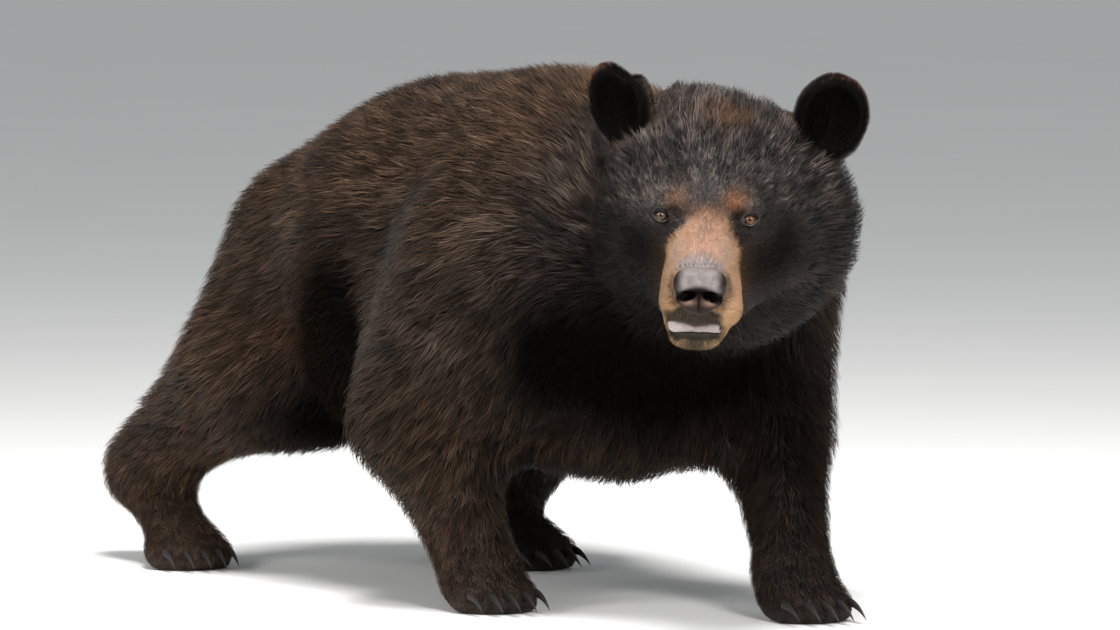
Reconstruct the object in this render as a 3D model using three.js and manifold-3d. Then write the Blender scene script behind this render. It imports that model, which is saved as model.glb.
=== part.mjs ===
// A large male black bear, life size, in millimetres.
// It stands low with its left forefoot ahead and its right hind foot trailing, heel up,
// and its head is turned to its right. It faces -Y, its own left side is +X, up is +Z.
// The flesh is one field of blended masses, drawn out to the tips of the coat. It is made
// into facets and parted into named pieces by thin straight cuts.
import * as THREE from "three";
import Module from "manifold-3d";

const wasm = await Module();
wasm.setup();

// ---- driving dimensions -------------------------------------------------------------------
const CUT = 0.5; // width of each parting cut and of each gap between fitted pieces
const BODY_CELL = 66; // facet size on the trunk and the tops of the legs
const LEG_CELL = 42; // facet size on the lower legs
const HEAD_CELL = 30; // facet size on the skull and cheeks
const MUZZLE_CELL = 17; // facet size on the muzzle and lower jaw
const PAW_CELL = 25; // facet size on the feet
const NOSE_CELL = 11; // facet size on the nose pad

const WITHERS_HEIGHT = 709; // top of the shoulders, coat included
const BACK_HEIGHT = 684; // top of the mid-back
const RUMP_HEIGHT = 600; // top of the rump
const BELLY_HEIGHT = 166; // lowest line of the belly
const BELLY_HALF_WIDTH = 275;
const RUMP_HALF_WIDTH = 210;
const RUMP_Y = 575; // centre of the rump behind the chest

const HEAD_AT = [-82, -392, 526]; // midpoint between the eyes
const HEAD_YAW = -32; // degrees about Z: the head looks to its right
const HEAD_PITCH = 13.5; // degrees, nose down
const HEAD_ROLL = 3; // degrees, its left side lower
const EYE_SPACING = 112; // between eye centres
const EYE_RADIUS = 12;
const EYE_DEPTH = -5; // eye centres behind the head's origin
const SKULL_SHIFT = 16; // the fur of crown and ruff lies this far to the left as the head turns
const EAR_SPACING = 262; // between ear centres
const EAR_BACK = 168; // ear centres behind the eyes
const EAR_RISE = 92; // ear centres above the eyes
const EAR_HALF = [48, 26, 56]; // half width, half thickness and half height of an ear
const EAR_TURNS = [-34, 7]; // degrees that the right and the left ear turn outward
const NOSE_HALF_WIDTH = 35;
const FORE_CLAW = 36; // length of a front claw outside the coat
const HIND_CLAW = 28;

const COLOURS = {
  coat: 0x1c1613,
  leg: 0x191412,
  muzzle: 0x9a7350,
  nose: 0x3b3634,
  ear: 0x14100f,
  eye: 0x3a2411,
  gum: 0xcbb3aa,
  claw: 0x171311,
};

// ---- blended masses -----------------------------------------------------------------------
const degrees = THREE.MathUtils.degToRad;

// An egg-shaped mass: centre, half sizes, and turns about X, Y and Z in degrees.
function ball(centre, radii, turn = [0, 0, 0]) {
  const spin = new THREE.Matrix4().makeRotationFromEuler(new THREE.Euler(...turn.map(degrees)));
  const place = new THREE.Matrix4().makeTranslation(...centre).multiply(spin);
  const inverse = place.invert();
  const [rx, ry, rz] = radii;
  const point = new THREE.Vector3();
  return (x, y, z) => {
    point.set(x, y, z).applyMatrix4(inverse);
    const unit = Math.hypot(point.x / rx, point.y / ry, point.z / rz);
    const slope = Math.hypot(point.x / rx ** 2, point.y / ry ** 2, point.z / rz ** 2);
    return slope < 1e-9 ? -Math.min(rx, ry, rz) : (unit * (unit - 1)) / slope;
  };
}

// A round limb between two points whose radius runs from one value to another.
function limb(from, to, radiusFrom, radiusTo) {
  const [ax, ay, az] = from;
  const [dx, dy, dz] = [to[0] - ax, to[1] - ay, to[2] - az];
  const lengthSquared = dx * dx + dy * dy + dz * dz;
  return (x, y, z) => {
    const along = ((x - ax) * dx + (y - ay) * dy + (z - az) * dz) / lengthSquared;
    const t = Math.min(1, Math.max(0, along));
    const gap = Math.hypot(x - ax - t * dx, y - ay - t * dy, z - az - t * dz);
    return gap - radiusFrom - t * (radiusTo - radiusFrom);
  };
}

// The smooth union of several masses; reach is how far apart two surfaces still blend.
function blend(masses, reach) {
  return (x, y, z) => {
    let total = masses[0](x, y, z);
    for (let i = 1; i < masses.length; i += 1) {
      const next = masses[i](x, y, z);
      const overlap = Math.max(reach - Math.abs(total - next), 0) / reach;
      total = Math.min(total, next) - (overlap * overlap * reach) / 4;
    }
    return total;
  };
}

// The same mass moved into the bear's frame from the frame of a head or a foot.
function placed(mass, frame) {
  const inverse = frame.clone().invert();
  const point = new THREE.Vector3();
  return (x, y, z) => {
    point.set(x, y, z).applyMatrix4(inverse);
    return mass(point.x, point.y, point.z);
  };
}

const mirrored = (make) => [-1, 1].map(make);

// ---- facets and cuts ----------------------------------------------------------------------
function solidOf(positions, triangles) {
  const vertProperties = Float32Array.from(positions);
  return new wasm.Manifold(
    new wasm.Mesh({ numProp: 3, vertProperties, triVerts: Uint32Array.from(triangles) }),
  );
}

// Facets of the surface where a field is zero: one vertex in each crossed cell of a grid,
// and one square across each crossed edge. Local is the frame that the grid stands in.
function facets(field, low, high, cell, local = new THREE.Matrix4()) {
  const count = low.map((value, k) => Math.ceil((high[k] - value) / cell) + 1);
  const [nx, ny, nz] = count;
  const index = (i, j, k) => i + nx * (j + ny * k);
  const point = new THREE.Vector3();
  const sample = (x, y, z) => {
    point.set(x, y, z).applyMatrix4(local);
    return field(point.x, point.y, point.z);
  };
  const values = new Float64Array(nx * ny * nz);
  const onBorder = (...at) => at.some((value, q) => value === 0 || value === count[q] - 1);
  for (let k = 0; k < nz; k += 1)
    for (let j = 0; j < ny; j += 1)
      for (let i = 0; i < nx; i += 1) {
        const value = sample(low[0] + i * cell, low[1] + j * cell, low[2] + k * cell);
        values[index(i, j, k)] = onBorder(i, j, k) ? Math.max(value, cell / 2) : value;
      }

  const positions = [];
  const vertexOf = new Map();
  const corners = [0, 1, 2, 3, 4, 5, 6, 7].map((c) => [c & 1, (c >> 1) & 1, (c >> 2) & 1]);
  for (let k = 0; k < nz - 1; k += 1)
    for (let j = 0; j < ny - 1; j += 1)
      for (let i = 0; i < nx - 1; i += 1) {
        const sum = [0, 0, 0];
        let crossings = 0;
        corners.forEach((a, m) => {
          for (let axis = 0; axis < 3; axis += 1) {
            if (a[axis]) continue;
            const b = corners[m | (1 << axis)];
            const va = values[index(i + a[0], j + a[1], k + a[2])];
            const vb = values[index(i + b[0], j + b[1], k + b[2])];
            if (va < 0 === vb < 0) continue;
            crossings += 1;
            const t = va / (va - vb);
            for (let q = 0; q < 3; q += 1) sum[q] += a[q] + t * (b[q] - a[q]);
          }
        });
        if (!crossings) continue;
        const base = [i, j, k];
        const spot = sum.map((value, q) => low[q] + cell * (base[q] + value / crossings));
        vertexOf.set(index(i, j, k), positions.length / 3);
        positions.push(...onSurface(sample, spot, cell));
      }

  const triangles = [];
  const steps = [1, nx, nx * ny];
  for (let k = 0; k < nz - 1; k += 1)
    for (let j = 0; j < ny - 1; j += 1)
      for (let i = 0; i < nx - 1; i += 1)
        for (let axis = 0; axis < 3; axis += 1) {
          const here = index(i, j, k);
          const inside = values[here] < 0;
          if (inside === values[here + steps[axis]] < 0) continue;
          const u = steps[(axis + 1) % 3];
          const v = steps[(axis + 2) % 3];
          const ring = [here, here - u, here - u - v, here - v].map((id) => vertexOf.get(id));
          if (!inside) ring.reverse();
          triangles.push(ring[0], ring[1], ring[2], ring[0], ring[2], ring[3]);
        }
  return solidOf(positions, triangles);
}

// Two short steps down the field's slope bring a vertex onto the surface.
function onSurface(sample, spot, cell) {
  const small = cell / 50;
  let [x, y, z] = spot;
  for (let step = 0; step < 2; step += 1) {
    const value = sample(x, y, z);
    if (Math.abs(value) > cell / 2) break;
    const gx = (sample(x + small, y, z) - value) / small;
    const gy = (sample(x, y + small, z) - value) / small;
    const gz = (sample(x, y, z + small) - value) / small;
    const slope = Math.max(gx * gx + gy * gy + gz * gz, 0.25);
    const move = THREE.MathUtils.clamp(value / slope, -cell / 3, cell / 3);
    x -= gx * move;
    y -= gy * move;
    z -= gz * move;
  }
  return [x, y, z];
}

// A three.js geometry as a solid, its shared vertices merged by place.
function solidFrom(geometry, matrix = new THREE.Matrix4()) {
  const shape = geometry.index ? geometry.toNonIndexed() : geometry;
  shape.applyMatrix4(matrix);
  const source = shape.attributes.position;
  const positions = [];
  const triangles = [];
  const seen = new Map();
  const corner = new THREE.Vector3();
  for (let i = 0; i < source.count; i += 1) {
    corner.fromBufferAttribute(source, i);
    const key = corner.toArray().map((value) => Math.round(value * 1e3)).join();
    if (!seen.has(key)) {
      seen.set(key, positions.length / 3);
      positions.push(...corner.toArray());
    }
    triangles.push(seen.get(key));
  }
  const kept = [];
  for (let t = 0; t < triangles.length; t += 3) {
    const [a, b, c] = triangles.slice(t, t + 3);
    if (a !== b && b !== c && c !== a) kept.push(a, b, c);
  }
  return solidOf(positions, kept);
}

// A block between two corners.
function block(low, high) {
  const size = high.map((value, k) => value - low[k]);
  const middle = high.map((value, k) => (value + low[k]) / 2);
  return solidFrom(new THREE.BoxGeometry(...size), new THREE.Matrix4().makeTranslation(...middle));
}

const grownBlock = (low, high) => block(low.map((v) => v - CUT), high.map((v) => v + CUT));
const moved = (solid, frame) => solid.transform(frame.toArray());

// The largest connected piece, so that no crumb is left beside a cut.
function mainPiece(solid) {
  const pieces = solid.decompose();
  return pieces.reduce((best, piece) => (piece.volume() > best.volume() ? piece : best));
}

function meshOf(name, solid, colour, roughness) {
  const data = mainPiece(solid).getMesh();
  const geometry = new THREE.BufferGeometry();
  geometry.setAttribute("position", new THREE.BufferAttribute(data.vertProperties, 3));
  geometry.setIndex(new THREE.BufferAttribute(data.triVerts, 1));
  const material = new THREE.MeshStandardMaterial({ color: colour, roughness, metalness: 0 });
  const mesh = new THREE.Mesh(geometry, material);
  mesh.name = name;
  return mesh;
}

// ---- trunk --------------------------------------------------------------------------------
const bodyCentre = (BACK_HEIGHT + BELLY_HEIGHT) / 2;
const trunkMasses = [
  ball([0, 150, WITHERS_HEIGHT - 265], [215, 235, 258]), // ribs behind the shoulders
  ball([0, 370, bodyCentre], [BELLY_HALF_WIDTH, 320, (BACK_HEIGHT - BELLY_HEIGHT) / 2]), // belly
  ball([0, RUMP_Y, RUMP_HEIGHT - 215], [RUMP_HALF_WIDTH, 215, 212]), // rump
  ball([0, -20, 362], [180, 160, 205]), // brisket
  ...mirrored((side) => ball([side * 145, 30, 420], [112, 150, 180])), // shoulder blades
];
const neckMasses = [limb([0, 30, 480], [20, -190, 490], 200, 160)];
const tailMass = limb([0, 775, 480], [0, 826, 395], 26, 20);

// ---- head, in its own frame: origin between the eyes, +X its left, -Y ahead, +Z up ---------
const headFrame = new THREE.Matrix4()
  .makeTranslation(...HEAD_AT)
  .multiply(new THREE.Matrix4().makeRotationZ(degrees(HEAD_YAW)))
  .multiply(new THREE.Matrix4().makeRotationX(degrees(HEAD_PITCH)))
  .multiply(new THREE.Matrix4().makeRotationY(degrees(HEAD_ROLL)));

const skull = blend(
  [
    ball([SKULL_SHIFT, 142, 8], [112, 125, 106]), // brain case
    ball([SKULL_SHIFT / 2, 62, 4], [74, 82, 52]), // forehead
    ...mirrored((side) => ball([side * 66, 112, -45], [76, 88, 90])), // cheeks
    ...mirrored((side) => ball([side * 50, 30, 2], [30, 34, 24])), // eye rims
    ball([SKULL_SHIFT, 190, -58], [184, 92, 160]), // ruff behind the jaw
    limb([0, 130, -100], [0, 40, -96], 82, 52), // throat
  ],
  46,
);
const snout = blend(
  [
    limb([0, 10, -34], [0, -98, -54], 49, 37), // bridge
    ...mirrored((side) => limb([side * 22, -30, -68], [side * 24, -98, -77], 34, 28)), // lips
    ...mirrored((side) => limb([side * 14, 40, -98], [side * 13, -84, -119], 46, 23)), // lower jaw
    ball([0, -116, -50], [34, 26, 26]), // nose tip
  ],
  20,
);
const headMasses = [placed(skull, headFrame), placed(snout, headFrame)];

// ---- legs ---------------------------------------------------------------------------------
// Joints in the bear's frame; foot is the point on the floor under the ball of the foot, toes
// is the direction they point (degrees from straight ahead, to the bear's right when negative).
const legs = {
  right_fore: {
    joints: [[-165, 20, 440], [-208, 135, 268], [-160, 85, 76]],
    radii: [125, 88, 52],
    foot: [-148, 55, 0],
    toes: -6,
    heel: [0, 32, 56],
    box: [[-420, -160, -20], [-102, 245, 446]],
    cuts: [245, 78],
  },
  left_fore: {
    joints: [[184, -45, 440], [190, -80, 258], [158, -190, 76]],
    radii: [134, 82, 52],
    foot: [150, -232, 0],
    toes: -4,
    heel: [0, 32, 56],
    box: [[100, -380, -20], [420, 150, 450]],
    cuts: [245, 78],
  },
  right_hind: {
    joints: [[-120, 610, 420], [-200, 620, 285], [-262, 880, 128]],
    radii: [140, 108, 52],
    foot: [-258, 738, 0],
    toes: -5,
    heel: [-8, 148, 126],
    box: [[-460, 455, -20], [-85, 1020, 450]],
    cuts: [262, 104],
  },
  left_hind: {
    joints: [[120, 590, 420], [195, 490, 275], [158, 630, 80]],
    radii: [140, 112, 52],
    foot: [150, 515, 0],
    toes: 5,
    heel: [6, 118, 38],
    box: [[85, 380, -20], [460, 1020, 450]],
    cuts: [240, 82],
  },
};

function footFrame(leg) {
  return new THREE.Matrix4()
    .makeTranslation(...leg.foot)
    .multiply(new THREE.Matrix4().makeRotationZ(degrees(leg.toes)));
}

const TOES = [-2, -1, 0, 1, 2];
const toeX = (toe) => toe * 23;
const toeY = (toe) => -44 + 4.5 * toe * toe;

// A foot in its own frame: origin on the floor, -Y ahead, sole at z = 0.
function footMasses(leg) {
  return [
    ball([0, 0, 28], [60, 54, 38]),
    limb([0, 8, 36], leg.heel, 44, 46),
    ...TOES.map((toe) => ball([toeX(toe), toeY(toe), 18], [15, 27, 21])),
  ];
}

function legMasses(leg) {
  const [top, middle, end] = leg.joints;
  const [topRadius, middleRadius, endRadius] = leg.radii;
  return [limb(top, middle, topRadius, middleRadius), limb(middle, end, middleRadius, endRadius)];
}

// ---- the whole field ----------------------------------------------------------------------
const legFields = Object.values(legs).map((leg) => blend(legMasses(leg), 50));
const feetFields = Object.values(legs).map((leg) =>
  placed(blend(footMasses(leg), 16), footFrame(leg)),
);
const bulk = blend([...trunkMasses, ...neckMasses, ...legFields], 70);
const bear = blend([bulk, ...headMasses, ...feetFields, tailMass], 36);
const grownBear = (x, y, z) => bear(x, y, z) - 6 * CUT; // what ears and claws keep clear of

// ---- parting ------------------------------------------------------------------------------
const FLOOR = block([-600, -800, -200], [600, 1200, 0]);
const BODY_LOW = [-420, -640, -60];
const BODY_HIGH = [420, 1040, 800];
const HEAD_BOX = [[-210, -220, -215], [210, 214, 220]];
const MUZZLE_BOX = [[-80, -200, -180], [80, -6, 6]];
const NECK_BOX = [[-500, -600, -600], [500, 0, 600]];

const model = new THREE.Group();
const head = new THREE.Group();
head.applyMatrix4(headFrame);
model.add(head);
let remains = facets(bear, BODY_LOW, BODY_HIGH, BODY_CELL)
  .subtract(FLOOR)
  .subtract(moved(grownBlock(...HEAD_BOX), headFrame));

// ---- eyes, ears, nose and mouth -------------------------------------------------------------
// An egg-shaped solid between named half sizes, as facets of its own.
function egg(centre, radii) {
  const place = new THREE.Matrix4().makeTranslation(...centre).scale(new THREE.Vector3(...radii));
  return solidFrom(new THREE.SphereGeometry(1, 12, 8), place);
}

function eyeball(side, radius) {
  return egg([(side * EYE_SPACING) / 2, EYE_DEPTH, 0], [radius, radius, radius]);
}

// A cupped ear facing ahead and a little outward; the right one lacks a torn piece of its rim.
function earSolid(side) {
  const [half, thick, tall] = EAR_HALF;
  const whole = egg([0, 0, 0], [half, thick, tall]).add(egg([0, 5, -34], [half - 6, thick, 36]));
  const cupped = whole.subtract(egg([0, -26, 5], [half - 12, thick, tall - 13]));
  const tear = new THREE.ConeGeometry(38, 45, 8);
  tear.rotateX(-Math.PI / 2);
  tear.scale(1, 4, 1);
  const notch = solidFrom(tear, new THREE.Matrix4().makeTranslation(18, 0, 47.5));
  return side < 0 ? cupped.subtract(notch) : cupped;
}

function earFrame(side) {
  return new THREE.Matrix4()
    .makeTranslation(SKULL_SHIFT + (side * EAR_SPACING) / 2, EAR_BACK, EAR_RISE)
    .multiply(new THREE.Matrix4().makeRotationZ(degrees(EAR_TURNS[side < 0 ? 0 : 1])))
    .multiply(new THREE.Matrix4().makeRotationY(degrees(side * 12)));
}

// The nose pad: a rounded block with two nostrils that open ahead and to the sides.
const nosePad = blend(
  [
    ball([0, -122, -51], [NOSE_HALF_WIDTH, 23, 26]),
    ball([0, -128, -44], [26, 18, 18]),
    limb([0, -124, -60], [0, -126, -76], 12, 7),
  ],
  10,
);
const nostrils = blend(mirrored((side) => ball([side * 18, -146, -55], [8, 12, 7])), 1);
const noseField = (x, y, z) => Math.max(nosePad(x, y, z), -nostrils(x, y, z));
const noseBox = [[-50, -160, -95], [50, -90, -8]];

// The open mouth seen from the side: a wedge that narrows to a thin cut at its back. Its back
// is given as a distance ahead of the eyes, and inset draws in its top and bottom.
function mouthWedge(back, inset, halfWidth) {
  const front = 210;
  const hinge = -4;
  const part = (ahead) => (ahead - hinge) / (front - hinge);
  const upper = (ahead) => -97 - 2 * part(ahead) - inset;
  const lower = (ahead) => -97 - CUT - 33 * part(ahead) + inset;
  const profile = new THREE.Shape();
  profile.moveTo(front, upper(front));
  profile.lineTo(back, upper(back));
  profile.lineTo(back, lower(back));
  profile.lineTo(front, lower(front));
  const wedge = new THREE.ExtrudeGeometry(profile, { depth: 2 * halfWidth, bevelEnabled: false });
  const turn = new THREE.Matrix4().makeBasis(
    new THREE.Vector3(0, -1, 0),
    new THREE.Vector3(0, 0, 1),
    new THREE.Vector3(-1, 0, 0),
  );
  return solidFrom(wedge, new THREE.Matrix4().makeTranslation(halfWidth, 0, 0).multiply(turn));
}

const headGrid = [[-270, -230, -250], [270, 290, 230], HEAD_CELL, headFrame];
const headBlank = facets(bear, ...headGrid);
const grownHead = facets(grownBear, ...headGrid);
const muzzleBlank = facets(bear, [-110, -210, -190], [110, 30, 40], MUZZLE_CELL, headFrame);
const noseSolid = facets(noseField, ...noseBox, NOSE_CELL);
const noseSocket = facets((x, y, z) => nosePad(x, y, z) - 3 * CUT, ...noseBox, NOSE_CELL);
const sockets = mirrored((side) => eyeball(side, EYE_RADIUS + CUT));

let headSolid = headBlank.intersect(block(...HEAD_BOX)).subtract(grownBlock(...MUZZLE_BOX));
let muzzleSolid = muzzleBlank.intersect(block(...MUZZLE_BOX)).subtract(noseSocket);
for (const socket of sockets) {
  headSolid = headSolid.subtract(socket);
  muzzleSolid = muzzleSolid.subtract(socket);
}
for (const side of [-1, 1]) {
  const name = side < 0 ? "right" : "left";
  const ear = moved(earSolid(side), earFrame(side));
  head.add(meshOf(`${name}_ear`, ear.subtract(grownHead), COLOURS.ear, 0.9));
  head.add(meshOf(`${name}_eye`, eyeball(side, EYE_RADIUS), COLOURS.eye, 0.1));
}
head.add(meshOf("head", headSolid, COLOURS.coat, 0.9));
head.add(meshOf("nose", noseSolid, COLOURS.nose, 0.4));

const mouth = mouthWedge(-4, 0, 120);
const jawBlock = block([-120, -230, -240], [120, 20, -97 - CUT / 2]);
const lowerJaw = muzzleSolid.subtract(mouth).intersect(jawBlock);
head.add(meshOf("lower_jaw", lowerJaw, COLOURS.muzzle, 0.8));
head.add(meshOf("muzzle", muzzleSolid.subtract(mouth).subtract(jawBlock), COLOURS.muzzle, 0.8));
const tongue = mouthWedge(20, CUT, 29).intersect(egg([0, -58, -109], [29, 50, 30]));
head.add(meshOf("tongue", tongue, COLOURS.gum, 0.4));

// ---- legs, paws and claws -------------------------------------------------------------------
// A curved claw that leaves its toe ahead and bends down towards the floor.
function claw(toe, length) {
  const cone = new THREE.ConeGeometry(6.5, length + 14, 5, 3);
  cone.rotateX(Math.PI / 2);
  const points = cone.attributes.position;
  for (let i = 0; i < points.count; i += 1) {
    const along = points.getZ(i) / (length + 14) + 0.5;
    const drop = 18 * along * along;
    points.setXYZ(i, points.getX(i) * 0.7, -points.getZ(i), points.getY(i) - drop);
  }
  const start = [toeX(toe), toeY(toe) - 24 - length / 2, 25];
  return solidFrom(cone, new THREE.Matrix4().makeTranslation(...start));
}

for (const [name, leg] of Object.entries(legs)) {
  const [low, high] = leg.box;
  const [kneeHeight, ankleHeight] = leg.cuts;
  const column = (bottom, top) => block([low[0], low[1], bottom], [high[0], high[1], top]);
  const upper = remains.intersect(column(kneeHeight, high[2]));
  const shin = facets(bear, [low[0], low[1], 0], [high[0], high[1], kneeHeight + 60], LEG_CELL)
    .intersect(column(ankleHeight, kneeHeight - CUT));
  model.add(meshOf(`${name}_upper_leg`, upper, COLOURS.coat, 0.9));
  model.add(meshOf(`${name}_lower_leg`, shin, COLOURS.leg, 0.9));
  const frame = footFrame(leg);
  const pawBlank = (field) =>
    moved(facets(field, [-110, -110, -36], [110, 250, 210], PAW_CELL, frame), frame);
  const paw = pawBlank(bear).intersect(column(0, ankleHeight - CUT));
  const grownPaw = pawBlank(grownBear);
  model.add(meshOf(`${name}_paw`, paw, COLOURS.leg, 0.9));
  for (const toe of TOES) {
    const whole = moved(claw(toe, name.endsWith("fore") ? FORE_CLAW : HIND_CLAW), frame);
    model.add(meshOf(`${name}_claw_${toe + 3}`, whole.subtract(grownPaw), COLOURS.claw, 0.3));
  }
  remains = remains.subtract(grownBlock(low, high));
}

// ---- neck, trunk and tail -------------------------------------------------------------------
const neckFrame = new THREE.Matrix4()
  .makeTranslation(10, -70, 475)
  .multiply(new THREE.Matrix4().makeRotationZ(degrees(-12)))
  .multiply(new THREE.Matrix4().makeRotationX(degrees(-20)));
model.add(meshOf("neck", remains.intersect(moved(block(...NECK_BOX), neckFrame)), COLOURS.coat, 0.9));
remains = remains.subtract(moved(grownBlock(...NECK_BOX), neckFrame));
const TAIL_BOX = [[-40, 792, 340], [40, 900, 500]];
const tail = facets(bear, [-70, 720, 320], [70, 900, 560], 20).intersect(block(...TAIL_BOX));
model.add(meshOf("tail", tail, COLOURS.coat, 0.9));
remains = remains.subtract(grownBlock(...TAIL_BOX));
model.add(meshOf("trunk", remains, COLOURS.coat, 0.9));

// The origin is on the floor, under the middle of the whole animal.
const bounds = new THREE.Box3().setFromObject(model, true);
const middle = bounds.getCenter(new THREE.Vector3());
model.position.set(-middle.x, -middle.y, -bounds.min.z);

export default model;
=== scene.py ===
"""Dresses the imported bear: one skin under a coat of mesh tufts, eyes with lids, nose leather,
mouth and claws, and the plain studio that it stands in. Lengths are metres in the model's frame,
and millimetres in the head's own frame, which lies between the eyes: +X its left, -Y ahead."""

import math

import bmesh
import bpy
import numpy as np
from mathutils import Matrix, Vector
from mathutils.bvhtree import BVHTree
from mathutils.kdtree import KDTree


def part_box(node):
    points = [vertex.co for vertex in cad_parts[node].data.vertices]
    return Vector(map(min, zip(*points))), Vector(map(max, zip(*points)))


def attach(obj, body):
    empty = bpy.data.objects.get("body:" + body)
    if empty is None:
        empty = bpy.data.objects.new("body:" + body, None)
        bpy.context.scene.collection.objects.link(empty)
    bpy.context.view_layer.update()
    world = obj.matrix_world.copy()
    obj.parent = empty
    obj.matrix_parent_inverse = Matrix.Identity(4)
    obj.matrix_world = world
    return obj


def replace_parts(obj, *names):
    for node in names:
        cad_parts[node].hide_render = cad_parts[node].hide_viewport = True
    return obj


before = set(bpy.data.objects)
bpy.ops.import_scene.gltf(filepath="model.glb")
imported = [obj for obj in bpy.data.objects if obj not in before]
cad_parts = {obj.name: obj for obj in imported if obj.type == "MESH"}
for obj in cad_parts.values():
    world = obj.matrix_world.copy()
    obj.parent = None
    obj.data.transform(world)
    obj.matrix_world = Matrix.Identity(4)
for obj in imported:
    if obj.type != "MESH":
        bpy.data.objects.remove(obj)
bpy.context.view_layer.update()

MM = 0.001
LEGS = ("right_fore", "left_fore", "right_hind", "left_hind")
FLESH = ["head", "muzzle", "lower_jaw", "right_ear", "left_ear", "neck", "trunk", "tail"]
FLESH += [f"{leg}_{part}" for leg in LEGS for part in ("upper_leg", "lower_leg", "paw")]
SIDES = (-1, 1)
SIDE_NAMES = {-1: "right", 1: "left"}
rng = np.random.default_rng(7)

# ---- driving sizes
VOXEL = 0.0078  # mesh size of the skin on the body
JOIN_GROWTH = 0.0007  # each piece of flesh grows by this, which closes the parting cuts
HEAD_YAW, HEAD_PITCH, HEAD_ROLL = -32, 13.5, 3  # degrees
EYE_SPACING = 112  # mm
EYE_SET = -5  # mm, the eye centres ahead of the head's origin
SKULL_SHIFT = 16  # mm
EAR_CENTRE = (131, 168, 92)  # mm, each side of the skull
EAR_HALF_WIDTH, EAR_HALF_HEIGHT = 46, 54  # mm
EAR_MIDDLE = (0, 0, 6)  # mm, of the whole ear with its root
EAR_TURNS = {-1: -34, 1: 7}  # degrees outward
EAR_LEAN = 12  # degrees
BROW_MIDDLE, HEAD_MIDDLE = (0, 60, -20), (0, 90, -20)  # mm
HAIR_CENTRE = (0, -146, -60)  # mm, a point in the nose from which the hair of the face spreads
FACE_SHIFT = 2.5  # mm to its left: muzzle, nose, mouth and eyes lie this far off the middle
NOSE_SHIFT = FACE_SHIFT + 1
EYE_RADIUS = 10.5  # mm
PUPIL, IRIS = 1.8, 6.1  # radii in mm

SKIN_LIFT = 0.0006  # lowest point of the skin above the floor
COAT_LIFT = 0.0003  # lowest point of the coat above the floor
SOLE_HEIGHT = 0.004  # no hair grows on the skin below this
ROOT_DEPTH = 0.0008  # of a tuft in the skin
TUFT_PATCH = 0.003  # width of a tuft's patch on the coat's map
MOST_TRIANGLES = 195000  # in one piece of coat
UNDERFUR, GUARD_HAIRS = 215000, 98000  # tufts of each kind
LOCKS = 26000  # groups of tufts whose tips draw together


# ---- numbers
def smooth_step(low, high, value):
    """From 0 at low to 1 at high, with soft ends."""
    part = np.clip((value - low) / (high - low), 0, 1)
    return part * part * (3 - 2 * part)


def bell(value, width):
    """1 where the value is 0, falling off to both sides over the width."""
    return np.exp(-((value / width) ** 2))


def strongest(*values):
    return np.maximum.reduce(values)


def length_of(vectors):
    return np.linalg.norm(vectors, axis=1)


def distance(points, place):
    return length_of(points - np.array(place))


def unit(vectors):
    return vectors / np.maximum(length_of(vectors), 1e-9)[:, None]


def bump_at(points, centre, radii):
    """1 at the centre, falling off smoothly over the radii."""
    return np.exp(-np.sum(((points - np.array(centre)) / np.array(radii)) ** 2, axis=1))


def lattice(cells, seed):
    """A repeatable number from 0 to 1 for each cell of a grid."""
    x, y, z = (cells[:, k].astype(np.int64) for k in range(3))
    mixed = (x * 73856093) ^ (y * 19349663) ^ (z * 83492791) ^ (seed * 26544357)
    mixed = (mixed ^ (mixed >> 13)) * 1274126177
    return ((mixed ^ (mixed >> 16)) & 0xFFFF) / 0xFFFF


def drift(points, size, seed):
    """Smooth noise from -1 to 1 in lumps of about that size."""
    scaled = points / size
    cell = np.floor(scaled).astype(int)
    part = scaled - cell
    part = part * part * (3 - 2 * part)
    total = np.zeros(len(points))
    for corner in np.ndindex(2, 2, 2):
        share = np.prod(np.where(corner, part, 1 - part), axis=1)
        total += share * lattice(cell + np.array(corner), seed)
    return 2 * total - 1


def drift_vectors(points, size, seed):
    return np.stack([drift(points, size, seed + k) for k in range(3)], axis=1)


# ---- the head's frame
def turned(x=0.0, y=0.0, z=0.0):
    """Turns about Z, then X, then Y, in degrees."""
    turn = Matrix.Rotation(math.radians(z), 3, "Z")
    turn = turn @ Matrix.Rotation(math.radians(x), 3, "X")
    return np.array(turn @ Matrix.Rotation(math.radians(y), 3, "Y"))


def centre_of(node):
    low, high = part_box(node)
    return np.array((low + high) / 2)


HEAD_AXES = turned(HEAD_PITCH, HEAD_ROLL, HEAD_YAW)
EYES_MIDDLE = (centre_of("right_eye") + centre_of("left_eye")) / 2
HEAD_ORIGIN = EYES_MIDDLE - HEAD_AXES @ np.array([0, EYE_SET * MM, 0])


def in_head(points):
    return (points - HEAD_ORIGIN) @ HEAD_AXES / MM


def from_head(places):
    return np.asarray(places, float) * MM @ HEAD_AXES.T + HEAD_ORIGIN


def on_face(head, shift=FACE_SHIFT):
    """The same places measured from the middle line of the muzzle."""
    return head - np.array([shift, 0, 0])


def ear_place(side):
    """The ear's origin and axes in the head's frame."""
    x, y, z = EAR_CENTRE
    return np.array([SKULL_SHIFT + side * x, y, z]), turned(0, side * EAR_LEAN, EAR_TURNS[side])


def in_ear(places, side):
    origin, axes = ear_place(side)
    return (places - origin) @ axes


def ear_reach(local):
    """How far out on the cup of an ear each place lies: 1 on its rim."""
    return np.sqrt((local[:, 0] / EAR_HALF_WIDTH) ** 2 + (local[:, 2] / EAR_HALF_HEIGHT) ** 2)


def near_head(points):
    """1 on the head, falling to 0 on the neck."""
    return smooth_step(330, 230, distance(in_head(points), HEAD_MIDDLE))


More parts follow.
